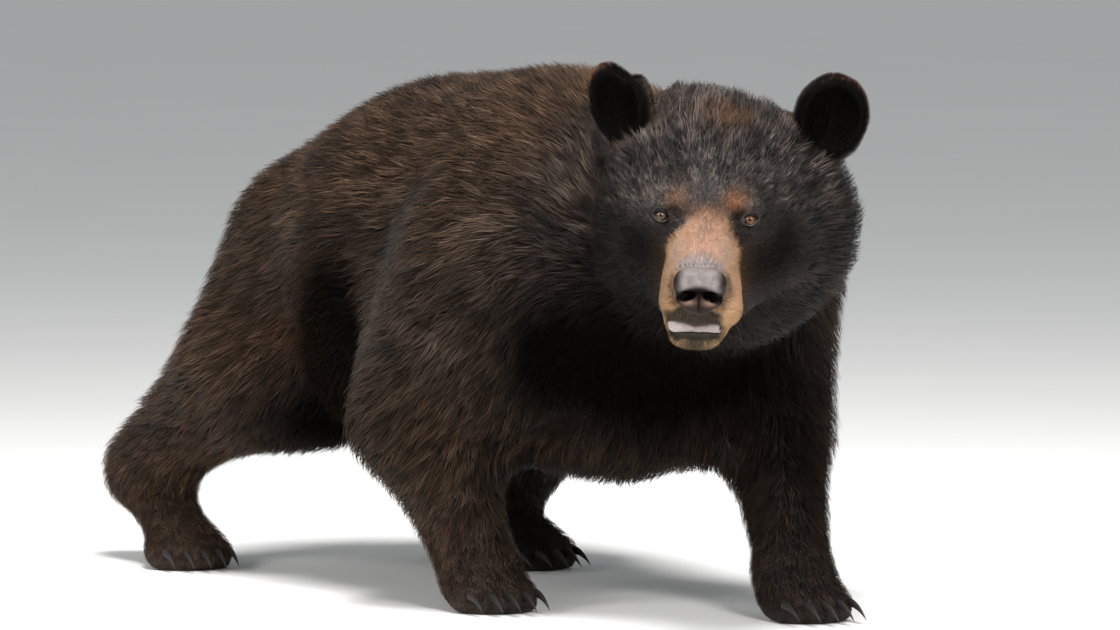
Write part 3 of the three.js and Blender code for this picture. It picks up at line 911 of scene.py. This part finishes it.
def coat_lie(points):
    """The way the hair points at each place, before it is laid along the skin."""
    way = np.zeros_like(points)
    for place, direction, reach in lie_strokes():
        gap = distance(points / MM, place) / reach
        share = np.exp(-0.5 * gap**2) / reach + 1e-9
        way += share[:, None] * np.array(direction) / np.linalg.norm(direction)
    way = unit(way)
    head = in_head(points)
    from_nose = unit((head - np.array(HAIR_CENTRE)) @ HEAD_AXES.T)
    share = smooth_step(310, 200, distance(head, BROW_MIDDLE))
    way = way + (from_nose - way) * share[:, None]
    for side, share in ear_share(head).items():
        _, axes = ear_place(side)
        up_ear = (in_ear(head, side) + np.array([0, 0, 60])) * np.array([1, 0.4, 1])
        up_ear = unit(up_ear @ axes.T @ HEAD_AXES.T)
        way = way + (up_ear - way) * share[:, None]
    way = way + 0.20 * drift_vectors(points, 0.030, 40) + 0.16 * drift_vectors(points, 0.011, 50)
    return unit(way)


def coat_length(points, depth):
    """Hair length in mm: long enough that hair lying down fills the coat's depth."""
    length = np.maximum(2.7 * depth, 5.0)
    behind_elbow = bump_at(points / MM, [-235, -60, 210], [60, 70, 90])
    under_flank = bump_at(points / MM, [-235, 60, 245], [75, 110, 45])
    head = in_head(points)
    beard = bump_at(head, [0, -90, -112], [52, 36, 40])
    beard -= 1.4 * bump_at(head, [0, -118, -98], [40, 30, 22])
    return length * (1 + 0.5 * behind_elbow + 0.7 * under_flank + 0.6 * beard)


def scatter(skin, count):
    """Roots spread evenly for the length of hair at each place."""
    mesh = skin.data
    co, triangles = arrays_of(mesh)
    normals = normals_of(mesh)
    uv = np.zeros(len(mesh.loops) * 2, np.float32)
    mesh.uv_layers.active.data.foreach_get("uv", uv)
    uv = uv.reshape(-1, 2)
    loops = np.zeros(len(mesh.loop_triangles) * 3, np.int32)
    mesh.loop_triangles.foreach_get("loops", loops)
    loops = loops.reshape(-1, 3)

    corners = co[triangles]
    edge, other_edge = corners[:, 1] - corners[:, 0], corners[:, 2] - corners[:, 0]
    area = length_of(np.cross(edge, other_edge)) / 2
    middle = corners.mean(axis=1)
    length = coat_length(middle, coat_depth(middle))
    under_foot = (middle[:, 2] < SOLE_HEIGHT) * 1.0
    spacing = 1.1 + 0.058 * length  # mm from root to root, wider where hair is longer
    density = (1 - bareness(middle)) * (1 - under_foot) / spacing**2
    density = density * (1 + 0.8 * near_head(middle))
    running = np.cumsum(area * density)
    marks = (np.arange(count) + rng.random(count)) / count * running[-1]
    chosen = np.minimum(np.searchsorted(running, marks), len(triangles) - 1)
    a, b = rng.random(count), rng.random(count)
    over = a + b > 1
    a[over], b[over] = 1 - a[over], 1 - b[over]
    share = np.stack([1 - a - b, a, b], axis=1)[:, :, None]
    roots = np.sum(co[triangles[chosen]] * share, axis=1)
    standing = unit(np.sum(normals[triangles[chosen]] * share, axis=1))
    patches = np.sum(uv[loops[chosen]] * share, axis=1)
    return roots, standing, patches


def laid(way, standing):
    """The way, turned to lie along the skin."""
    return unit(way - np.sum(way * standing, axis=1, keepdims=True) * standing)


def nearest_on(tree, points):
    found = np.zeros_like(points)
    facing = np.zeros_like(points)
    for k, point in enumerate(points.tolist()):
        place, normal, _, _ = tree.find_nearest(point)
        found[k] = place
        facing[k] = normal
    return found, facing


# Each kind of tuft: its corners along the hair from 0 to 1, the corners of its faces, and
# its corners on its patch of the map. Both are closed: a four-sided thorn and a bent spindle.
THORN = {
    "along": np.array([0.0, 0.0, 0.1, 1.0]),
    "faces": np.array([[0, 1, 2], [3, 1, 0], [3, 2, 1], [3, 0, 2]]),
    "patch": np.array([[-0.5, -0.4], [-0.5, 0.4], [-0.3, 0.0], [0.5, 0.05]]),
}
SPINDLE = {
    "along": np.array([0.0, 0.45, 0.45, 0.45, 1.0]),
    "faces": np.array([[0, 3, 1], [0, 2, 3], [0, 1, 2], [4, 1, 3], [4, 3, 2], [4, 2, 1]]),
    "patch": np.array([[-0.5, 0.0], [0.0, 0.5], [0.0, -0.5], [0.05, 0.0], [0.5, 0.0]]),
}


def tuft_mesh(name, kind, places, patches, values):
    """Many tufts of one kind as one mesh. Places are their corners, in metres."""
    many, corners = places.shape[:2]
    mesh = bpy.data.meshes.new(name)
    mesh.vertices.add(many * corners)
    mesh.vertices.foreach_set("co", places.astype(np.float32).ravel())
    faces = (np.arange(many)[:, None, None] * corners + kind["faces"]).reshape(-1, 3)
    mesh.loops.add(faces.size)
    mesh.loops.foreach_set("vertex_index", faces.astype(np.int32).ravel())
    mesh.polygons.add(len(faces))
    mesh.polygons.foreach_set("loop_start", np.arange(len(faces), dtype=np.int32) * 3)
    mesh.polygons.foreach_set("use_smooth", np.ones(len(faces), bool))
    mesh.update()
    mesh.validate()
    patch = patches[:, None, :] * (1 - 2 * TUFT_PATCH) + TUFT_PATCH * (1 + kind["patch"][None, :, :])
    layer = mesh.uv_layers.new(name="OFBake")
    layer.data.foreach_set("uv", patch[:, kind["faces"]].astype(np.float32).ravel())
    write_values(mesh, "along", np.tile(kind["along"], many))
    for value_name, value in values.items():
        write_values(mesh, value_name, np.repeat(value, corners))
    return mesh


def fringe(points):
    """1 on the rims of the ears, where hair stands out past the edge."""
    head = in_head(points)
    free = np.zeros(len(points))
    for side in SIDES:
        local = in_ear(head, side)
        reach = ear_reach(local)
        near = smooth_step(84, 70, length_of(local)) * smooth_step(-46, -30, local[:, 2])
        free = np.maximum(free, smooth_step(0.75, 0.92, reach) * near)
    return free


MIDDLE_SHARE = 0.45  # of a hair's length, from its root to its bend


def along_skin(tree, roots, standing, length):
    """Middle and tip of hair that lies along the skin, each with the skin's normal there."""
    way = laid(coat_lie(roots), standing)
    middle, middle_up = nearest_on(tree, roots + way * (MIDDLE_SHARE * length)[:, None])
    way = laid(way, middle_up)
    ahead = middle + way * ((1 - MIDDLE_SHARE) * length)[:, None]
    tips, tips_up = nearest_on(tree, ahead)
    free = (0.8 * fringe(roots))[:, None]
    return middle, middle_up, tips + (ahead - tips) * free, tips_up


def make_locks(skin, tree):
    """The locks of the coat: root, reach to the tip per length of hair, and tone of each."""
    roots, standing, _ = scatter(skin, LOCKS)
    length = coat_length(roots, coat_depth(roots)) * MM
    _, _, tips, _ = along_skin(tree, roots, standing, length)
    finder = KDTree(LOCKS)
    for k, root in enumerate(roots.tolist()):
        finder.insert(root, k)
    finder.balance()
    reach = (tips - roots) / length[:, None]
    return {"finder": finder, "roots": roots, "reach": reach, "tones": rng.random(LOCKS)}


def grow_coat(skin, tree, locks, kind, name, count, look, materials):
    """Tufts of one kind that follow the skin, in pieces from nose to tail. The look gives their
    length, width at the root in mm and per length, how far they stand, and their bend."""
    roots, standing, patches = scatter(skin, count)
    order = np.argsort(roots[:, 1])
    roots, standing, patches = roots[order], standing[order], patches[order]
    lock = np.array([locks["finder"].find(root)[1] for root in roots.tolist()])
    lock_tone = locks["tones"][lock]
    depth = coat_depth(roots)
    length = coat_length(roots, depth) * rng.uniform(0.7, 1.2, count) * look["length"] * MM
    depth = depth * MM
    on_head = near_head(roots)
    width = (look["width"][0] * MM + look["width"][1] * length) * rng.uniform(0.7, 1.3, count)
    width = width * (1 - 0.25 * on_head)
    stand = rng.uniform(*look["stand"], count) + 0.22 * drift(roots, 0.02, 60) + 0.2 * (lock_tone - 0.5)
    clump = 0.5 * drift(roots, 0.018, 64) + 0.4 * drift(roots, 0.06, 65)
    tone = np.clip(0.02 + 0.5 * lock_tone + 0.44 * rng.random(count) ** 1.3 + 0.4 * clump, 0, 1)
    head = in_head(roots)
    rays = unit(head - np.array(HAIR_CENTRE)) * 130 + 0.12 * head
    streaks = drift(rays, 3.5, 66) + 0.7 * drift(rays, 9, 67)
    tone = np.clip(tone + 0.14 * streaks * on_head, 0, 1)
    marks = markings(roots)

    middle, middle_up, tips, tips_up = along_skin(tree, roots, standing, length)
    gathered = locks["roots"][lock] + locks["reach"][lock] * length[:, None]
    pull = look["pull"] * rng.uniform(0.5, 1.1, count)
    tips = tips + (gathered - tips) * pull[:, None]
    wave = drift_vectors(tips, 0.012, 70)
    wave = wave - 0.8 * np.sum(wave * tips_up, axis=1, keepdims=True) * tips_up
    tips = tips + wave * (look["bend"] * length)[:, None]
    middle = middle + middle_up * (0.62 * depth * stand)[:, None]
    tips = tips + tips_up * (depth * stand)[:, None]
    base = roots - standing * ROOT_DEPTH
    across = unit(np.cross(tips - base, middle_up))
    over = unit(np.cross(across, tips - base))
    half = (0.5 * width)[:, None]
    if kind is THORN:
        corners = [base - across * half, base + across * half, base + over * half * 0.8, tips]
    else:
        ridge = middle + over * half * 0.6
        corners = [base, middle - across * half, middle + across * half, ridge, tips]
    places = np.stack(corners, axis=1)
    places[:, :, 2] = np.maximum(places[:, :, 2], COAT_LIFT)

    values = {"tone": tone, **marks}
    of_head = rng.random(count) < on_head
    for region, chosen in (("head", np.flatnonzero(of_head)), ("body", np.flatnonzero(~of_head))):
        pieces = math.ceil(len(chosen) * len(kind["faces"]) / MOST_TRIANGLES)
        for number, part in enumerate(np.array_split(chosen, pieces)):
            part_values = {value_name: value[part] for value_name, value in values.items()}
            piece_name = f"{region}_{name}_{number + 1}"
            mesh = tuft_mesh(piece_name, kind, places[part], patches[part], part_values)
            mesh.materials.append(materials[region])
            piece = object_of(piece_name, mesh)
            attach(piece, "root")


# ---- materials
class Wire:
    """A value in a material. Sums and products of wires add their Math nodes."""

    def __init__(self, paint, socket):
        self.paint = paint
        self.socket = socket

    def worked(self, operation, first, second):
        return self.paint.node("Math", {"operation": operation}, {0: first, 1: second})

    def __add__(self, other):
        return self.worked("ADD", self, other)

    def __sub__(self, other):
        return self.worked("SUBTRACT", self, other)

    def __rsub__(self, other):
        return self.worked("SUBTRACT", other, self)

    def __mul__(self, other):
        return self.worked("MULTIPLY", self, other)

    __radd__ = __add__
    __rmul__ = __mul__


class Paint:
    """A material on one Principled shader, and the method that adds its other nodes."""

    def __init__(self, name, constants):
        self.material = bpy.data.materials.new(name)
        self.material.use_nodes = True
        self.nodes = self.material.node_tree.nodes
        self.links = self.material.node_tree.links
        self.shader = self.nodes["Principled BSDF"]
        for socket, value in constants.items():
            self.shader.inputs[socket].default_value = value

    def node(self, kind, settings=None, inputs=None, output=0):
        made = self.nodes.new("ShaderNode" + kind)
        for name, value in (settings or {}).items():
            setattr(made, name, value)
        for name, value in (inputs or {}).items():
            if isinstance(value, Wire):
                self.links.new(value.socket, made.inputs[name])
            else:
                made.inputs[name].default_value = value
        return Wire(self, made.outputs[output])

    def drive(self, socket, wire):
        self.links.new(wire.socket, self.shader.inputs[socket])

    def mixed(self, share, first, second):
        """From the first colour to the second."""
        inputs = {0: share, 6: first, 7: second}
        return self.node("Mix", {"data_type": "RGBA"}, inputs, 2)

    def scaled(self, tint, factor):
        """The colour made brighter or darker."""
        inputs = {0: tint if isinstance(tint, Wire) else tint[:3], "Scale": factor}
        return self.node("VectorMath", {"operation": "SCALE"}, inputs)

    def value(self, name):
        return self.node("Attribute", {"attribute_name": name}, None, 2)

    def ramp(self, wire, low, high):
        """From 0 at low to 1 at high, with soft ends."""
        inputs = {"Value": wire, "From Min": low, "From Max": high}
        return self.node("MapRange", {"interpolation_type": "SMOOTHSTEP"}, inputs)

    def place(self):
        return self.node("TexCoord", output=3)

    def noise(self, size, detail=2.0, vector=None):
        """Noise about 0.5 in lumps of that size, in metres."""
        inputs = {"Vector": vector or self.place(), "Scale": 1 / size, "Detail": detail}
        return self.node("TexNoise", None, inputs)

    def bumped(self, height, strength, distance):
        inputs = {"Height": height, "Strength": strength, "Distance": distance}
        self.drive("Normal", self.node("Bump", None, inputs))


def colour(red, green, blue):
    return (red, green, blue, 1.0)


BLACK_HAIR = colour(0.0105, 0.0076, 0.0060)
BROWN_HAIR = colour(0.056, 0.0285, 0.0145)
# Grey of painted sheen on black hair.
SHEEN_GREY = colour(0.095, 0.078, 0.070)
# Painted glint on the tips of hair.
GLINT_TIP = colour(0.24, 0.195, 0.16)
RUST_HAIR = colour(0.25, 0.095, 0.032)
TAN_HAIR = colour(0.50, 0.30, 0.145)
PINK_HAIR = colour(0.53, 0.295, 0.195)
GREY_SKIN = colour(0.25, 0.20, 0.185)
# Dark of lips and skin, and of painted shade on the muzzle's right side.
DARK_SKIN_AND_SHADE = colour(0.016, 0.010, 0.004)
# Black of the ear insides, and of painted shade.
BLACK_AND_SHADE = colour(0.0030, 0.0024, 0.0020)


def coat_colour(paint, tone, along):
    """The coat's markings, each hair darker at its root as painted shade, with painted glints on the
    brightest tips.
    """
    tip = tone * tone * tone
    hair = paint.mixed(paint.value("brown"), BLACK_HAIR, BROWN_HAIR)
    # painted sheen as grey hair: top of the head, crown, shoulder, neck; round the eyes partly
    hair = paint.mixed(paint.value("silver_sheen") * 0.65 * tone, hair, SHEEN_GREY)
    # each hair darker towards its root: painted shade between the hairs
    hair = paint.scaled(hair, (tone * tone * 3.3 + 0.2) * (along * 1.25 + 0.14))
    # painted glint on the tips of the brightest tufts
    hair = paint.mixed(tip * along * along * 0.5, hair, GLINT_TIP)
    hair = paint.mixed(paint.value("rust"), hair, paint.scaled(RUST_HAIR, tone * along + 0.35))
    muzzle = paint.mixed(paint.value("pink"), TAN_HAIR, PINK_HAIR)
    muzzle = paint.mixed(paint.value("grey"), muzzle, GREY_SKIN)
    muzzle = paint.scaled(muzzle, (tone * 0.4 + 0.68) * (along * 0.18 + 0.85))
    hair = paint.mixed(paint.value("tan"), hair, muzzle)
    # dark: lips and skin, with painted shade on the right side of the muzzle
    hair = paint.mixed(paint.value("dark"), hair, paint.scaled(DARK_SKIN_AND_SHADE, tone + 0.5))
    # black: ear insides, and painted shade in hollows, fold lines, flank and chest
    return paint.mixed(paint.value("black"), hair, paint.scaled(BLACK_AND_SHADE, tone + 0.5))


def coat_material(name, tint):
    paint = Paint(name, {"Specular IOR Level": 0.24, "Specular Tint": tint})
    paint.drive("Base Color", coat_colour(paint, paint.value("tone"), paint.value("along")))
    matt = paint.value("tan") * 0.2 + paint.value("tone") * 0.2 + paint.value("black") * 0.45
    paint.drive("Roughness", matt + 0.36)
    paint.drive("Metallic", paint.value("black") * 0.85 + paint.value("dark") * 0.45)
    return paint.material


def skin_material():
    paint = Paint("skin_under_coat", {"Specular IOR Level": 0.35})
    fine = paint.noise(0.0016, 3.0)
    bare = paint.value("bare")
    hair = coat_colour(paint, fine, fine * 0.6)
    leather = paint.mixed(paint.value("grey") * 0.5, colour(0.020, 0.011, 0.008), GREY_SKIN)
    leather = paint.scaled(leather, fine + 0.5)
    paint.drive("Base Color", paint.mixed(bare, hair, leather))
    paint.drive("Roughness", 0.7 - bare * 0.32)
    paint.drive("Metallic", paint.value("black") * 0.85)
    paint.bumped(fine, 0.5, 0.0008)
    return paint.material


def nose_material():
    paint = Paint("nose_leather", {"Specular IOR Level": 0.09})
    cells = {"Vector": paint.place(), "Scale": 620.0, "Smoothness": 0.4}
    pebbles = paint.node("TexVoronoi", {"feature": "SMOOTH_F1"}, cells)
    patches = paint.noise(0.008, 4.0)
    leather = paint.mixed(patches, colour(0.005, 0.003, 0.002), colour(0.020, 0.011, 0.007))
    # painted sheen on the top of the pad
    sheen = paint.mixed(patches, colour(0.11, 0.094, 0.090), colour(0.30, 0.262, 0.255))
    leather = paint.mixed(paint.value("top"), leather, sheen)
    # pink skin of the wings, partly a painted wet highlight
    leather = paint.mixed(paint.value("wing") * 0.8, leather, colour(0.22, 0.135, 0.105))
    # hollow: painted shade in the nostrils, under their arch and in the groove below
    leather = paint.mixed(paint.value("hollow"), leather, colour(0.003, 0.002, 0.002))
    paint.drive("Base Color", leather)
    paint.drive("Roughness", patches * 0.25 + 0.3)
    paint.drive("Metallic", paint.value("hollow"))
    paint.bumped(pebbles, 0.4, 0.0005)
    return paint.material


def tongue_material():
    paint = Paint("tongue_flesh", {"Roughness": 0.28, "Coat Weight": 0.6, "Coat Roughness": 0.12})
    mottle = paint.noise(0.004, 3.0)
    flesh = paint.mixed(mottle, colour(0.19, 0.135, 0.118), colour(0.50, 0.42, 0.39))
    paint.drive("Base Color", paint.mixed(paint.value("cleft"), flesh, colour(0.085, 0.026, 0.020)))
    paint.bumped(mottle, 0.35, 0.0008)
    return paint.material


def lid_material():
    paint = Paint("eyelid_skin", {"Roughness": 0.6, "Specular IOR Level": 0.08, "Metallic": 0.5})
    wrinkle = paint.noise(0.0015, 3.0)
    rim = paint.mixed(wrinkle, colour(0.004, 0.0035, 0.0035), colour(0.014, 0.012, 0.012))
    paint.drive("Base Color", paint.mixed(paint.value("wet_edge"), rim, colour(0.15, 0.105, 0.085)))
    paint.bumped(wrinkle, 0.3, 0.0005)
    return paint.material


def claw_material():
    paint = Paint("claw_horn", {"Roughness": 0.5, "Specular IOR Level": 0.3})
    grain = paint.noise(0.0012, 2.0)
    horn = paint.mixed(grain, colour(0.007, 0.005, 0.005), colour(0.028, 0.021, 0.018))
    paint.drive("Base Color", horn)
    paint.bumped(grain, 0.3, 0.0004)
    return paint.material


def floor_material():
    paint = Paint("studio_floor", {"Roughness": 0.85})
    faint = paint.noise(0.5, 2.0) * 0.04 + 0.98
    paint.drive("Base Color", paint.scaled(colour(0.80, 0.79, 0.77), faint))
    return paint.material


def eye_material(name, amber):
    """Pupil, amber iris with fine fibres, dark rim and dark white, by distance from the gaze."""
    gloss = {"Roughness": 0.12, "Specular IOR Level": 0.2, "Coat Weight": 0.3, "Coat Roughness": 0.03}
    paint = Paint(name, gloss)
    flat = paint.node("UVMap", {"uv_map": "gaze"})
    centred = paint.node("VectorMath", {"operation": "SUBTRACT"}, {0: flat, 1: (0.5, 0.5, 0)})
    out = paint.node("VectorMath", {"operation": "LENGTH"}, {0: centred}, 1) * (2 * EYE_RADIUS)
    spoke = paint.node("VectorMath", {"operation": "NORMALIZE"}, {0: centred})
    fibres = paint.node("TexNoise", None, {"Vector": spoke, "Scale": 9.0, "Detail": 3.0})
    iris = paint.mixed(fibres, paint.scaled(amber, 0.45), paint.scaled(amber, 1.5))
    iris = paint.mixed(paint.ramp(out, IRIS - 1.6, IRIS - 0.2), iris, paint.scaled(amber, 0.16))
    eye = paint.mixed(paint.ramp(out, PUPIL - 0.2, PUPIL + 0.25), colour(0.002, 0.002, 0.002), iris)
    eye = paint.mixed(paint.ramp(out, IRIS - 0.3, IRIS + 0.3), eye, colour(0.016, 0.010, 0.008))
    paint.drive("Base Color", eye)
    return paint.material


# ---- eyes and lids
LID_HALF_WIDTH, LID_UP, LID_DOWN = 8.2, 4.6, 5.8  # mm, the open eye
LID_TILT = 12  # degrees, inner corner lower
LID_SPREAD = 72  # degrees, how far over the ball the lids reach


def make_eye(side, material):
    name = f"{SIDE_NAMES[side]}_eye"
    bm = bmesh.new()
    bmesh.ops.create_uvsphere(bm, u_segments=48, v_segments=32, radius=EYE_RADIUS)
    bmesh.ops.rotate(bm, verts=bm.verts, matrix=Matrix.Rotation(math.radians(90), 3, "X"))
    layer = bm.loops.layers.uv.new("gaze")
    for face in bm.faces:
        for loop in face.loops:
            at = loop.vert.co / (2 * EYE_RADIUS)
            loop[layer].uv = (0.5 + at.x, 0.5 + at.z)
    for vert in bm.verts:
        off_axis = math.hypot(vert.co.x, vert.co.z)
        if vert.co.y < 0 and off_axis < IRIS + 1.5:
            vert.co.y -= 0.9 * (1 - (off_axis / (IRIS + 1.5)) ** 2)
    move_to(bm, from_head(places_of(bm) @ GAZE.T + eye_place(side)))
    eye = finished(f"{name}_ball", bm, material)
    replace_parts(eye, name)


def make_lids(side, material):
    """Lids that lie on the eyeball, from the rim of the open eye to under the coat around it."""
    bm = bmesh.new()
    bmesh.ops.create_circle(bm, segments=16, radius=1.0)
    bmesh.ops.rotate(bm, verts=bm.verts, matrix=Matrix.Rotation(math.radians(90), 3, "X"))
    bmesh.ops.translate(bm, verts=bm.verts, vec=(10, 0, 0))
    bmesh.ops.spin(bm, geom=bm.edges[:], axis=(0, 0, 1), angle=math.tau, steps=64, use_merge=True)
    ring = places_of(bm)
    angle = np.arctan2(ring[:, 1], ring[:, 0])
    outward = (np.hypot(ring[:, 0], ring[:, 1]) - 9) / 2
    lift = (ring[:, 2] + 1) / 2
    up = np.sin(angle) > 0
    corner = np.abs(np.cos(angle)) ** 6
    x = (LID_HALF_WIDTH + 1.0 * corner) * np.cos(angle)
    z = np.where(up, LID_UP, LID_DOWN) * np.sin(angle) * (1 - 0.3 * corner)
    opening = np.arcsin(np.clip(np.hypot(x, z) / (EYE_RADIUS + 0.3), 0, 0.95))
    bend = opening + outward * (math.radians(LID_SPREAD) - opening)
    around = np.arctan2(z, x)
    thick = np.where(up, 2.3, 1.2) * (1 - 0.6 * outward)
    reach = EYE_RADIUS + 0.15 + lift * thick
    tilt = around + math.radians(side * LID_TILT)
    ways = [np.sin(bend) * np.cos(tilt), -np.cos(bend), np.sin(bend) * np.sin(tilt)]
    places = (np.stack(ways, axis=1) * reach[:, None]) @ GAZE.T
    move_to(bm, from_head(places + eye_place(side)))
    lids = finished(f"{SIDE_NAMES[side]}_eyelids", bm, material)
    wet = smooth_step(0.0, 0.5, -np.sin(angle)) * smooth_step(0.18, 0.08, outward) * (lift > 0.2)
    write_values(lids.data, "wet_edge", wet)


# ---- mouth and claws
def make_tongue(material):
    """The pale tongue and gum that fill the narrow opening between the lips."""
    bm = bmesh.new()
    bmesh.ops.create_uvsphere(bm, u_segments=64, v_segments=32, radius=1.0)
    shape = places_of(bm)
    x = 34.5 * np.sign(shape[:, 0]) * np.abs(shape[:, 0]) ** 0.4
    y = -72 + 32 * np.sign(shape[:, 1]) * np.abs(shape[:, 1]) ** 0.4 + (5.3 - 0.045 * x) * (x / 31) ** 2
    z = -111 + 11 * np.sign(shape[:, 2]) * np.abs(shape[:, 2]) ** 0.5 - 0.03 * x
    z = z - 1.6 * bell(x, 3.5) * (shape[:, 2] > 0)
    z = z + 0.5 * np.sin(x * 0.9) * (shape[:, 2] > 0)
    places = np.stack([x, y, z], axis=1)
    move_to(bm, from_head(places + np.array([FACE_SHIFT - 5, 0, 0])))
    tongue = finished("tongue_tip", bm, material)
    cleft = bump_at(places, [3, -104, -105.5], [13, 14, 3.5])
    write_values(tongue.data, "cleft", np.minimum(1.5 * cleft, 1))
    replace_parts(tongue, "tongue")


# The point on the floor under each foot, in mm, and where its toes point, in degrees.
FEET = {
    "right_fore": ((-146.3, -157.6), -6),
    "left_fore": ((151.7, -444.6), -4),
    "right_hind": ((-256.3, 525.4), -5),
    "left_hind": ((151.7, 302.4), 5),
}
CLAW_LENGTHS = {"fore": 50, "hind": 42}  # mm, with the part inside the toe
CLAW_ROOT = 6.5  # radius
CLAW_HEIGHT, CLAW_DROP = 25, 19  # of its root above the floor, and from root to tip
TOE_SPACING = 23
TOE_FRONT, TOE_ARC, TOE_INSIDE = -44, 4.5, 17  # the toes' line, its curve, and the claw inside


def make_claw(leg, toe, material):
    """A horn turned about its axis, then narrowed and bent down to the floor."""
    length = CLAW_LENGTHS[leg.split("_")[1]]
    bm = bmesh.new()
    rings = 14
    profile = []
    for k in range(rings + 1):
        part = k / rings
        radius = CLAW_ROOT * (1 - part**1.6) * (0.85 + 0.15 * part)
        profile.append(bm.verts.new((radius, 0, length * part)))
    profile[-1].co.x = 0
    profile.insert(0, bm.verts.new((0, 0, 0)))
    outline = [bm.edges.new(pair) for pair in zip(profile[:-1], profile[1:])]
    bmesh.ops.spin(bm, geom=outline, axis=(0, 0, 1), angle=math.tau, steps=18, use_merge=True)
    bmesh.ops.remove_doubles(bm, verts=bm.verts, dist=1e-4)
    (foot_x, foot_y), turn = FEET[leg]
    turn = math.radians(turn)
    for vert in bm.verts:
        along = vert.co.z / length
        x = TOE_SPACING * toe + 0.72 * vert.co.x
        y = TOE_FRONT + TOE_ARC * toe * toe - TOE_INSIDE - length * along
        z = CLAW_HEIGHT + vert.co.y * (1 - 0.25 * along) - CLAW_DROP * along * along
        vert.co.x = (foot_x + x * math.cos(turn) - y * math.sin(turn)) * MM
        vert.co.y = (foot_y + x * math.sin(turn) + y * math.cos(turn)) * MM
        vert.co.z = max(z, 0.8) * MM
    node = f"{leg}_claw_{toe + 3}"
    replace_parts(finished(f"{node}_horn", bm, material), node)


# ---- the whole bear
def unwrap(made):
    bpy.context.view_layer.objects.active = made
    made.select_set(True)
    bpy.ops.object.mode_set(mode="EDIT")
    bpy.ops.mesh.select_all(action="SELECT")
    bpy.ops.uv.smart_project(angle_limit=math.radians(66), island_margin=0.001)
    bpy.ops.object.mode_set(mode="OBJECT")
    made.data.uv_layers.active.name = "OFBake"


def dress_bear():
    skin = make_skin()
    unwrap(skin)
    co, _ = arrays_of(skin.data)
    for name, values in markings(co).items():
        write_values(skin.data, name, values)
    write_values(skin.data, "bare", bareness(co))
    skin.data.polygons.foreach_set("use_smooth", [True] * len(skin.data.polygons))
    skin.data.materials.clear()
    skin.data.materials.append(skin_material())
    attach(skin, "root")
    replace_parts(skin, *FLESH)
    tree = BVHTree.FromPolygons(*(values.tolist() for values in arrays_of(skin.data)))
    coats = {
        "head": coat_material("head_hair", colour(1.0, 0.90, 0.85)),
        "body": coat_material("body_hair", colour(1.0, 0.76, 0.58)),
    }
    locks = make_locks(skin, tree)
    under = {"length": 0.78, "width": (0.42, 0.034), "stand": (0.55, 0.95), "bend": 0.15, "pull": 0.5}
    guard = {"length": 0.95, "width": (0.32, 0.020), "stand": (0.75, 1.15), "bend": 0.20, "pull": 0.6}
    grow_coat(skin, tree, locks, THORN, "underfur", UNDERFUR, under, coats)
    grow_coat(skin, tree, locks, SPINDLE, "guard_hair", GUARD_HAIRS, guard, coats)

    nose = make_nose(nose_material())
    paint_nose(nose)

    ambers = {-1: colour(0.058, 0.038, 0.018), 1: colour(0.092, 0.040, 0.015)}
    rim = lid_material()
    for side in SIDES:
        make_eye(side, eye_material(f"{SIDE_NAMES[side]}_eye_amber", ambers[side]))
        make_lids(side, rim)
    make_tongue(tongue_material())
    horn = claw_material()
    for leg in LEGS:
        for toe in range(-2, 3):
            make_claw(leg, toe, horn)


make_camera()
make_studio(floor_material())
dress_bear()
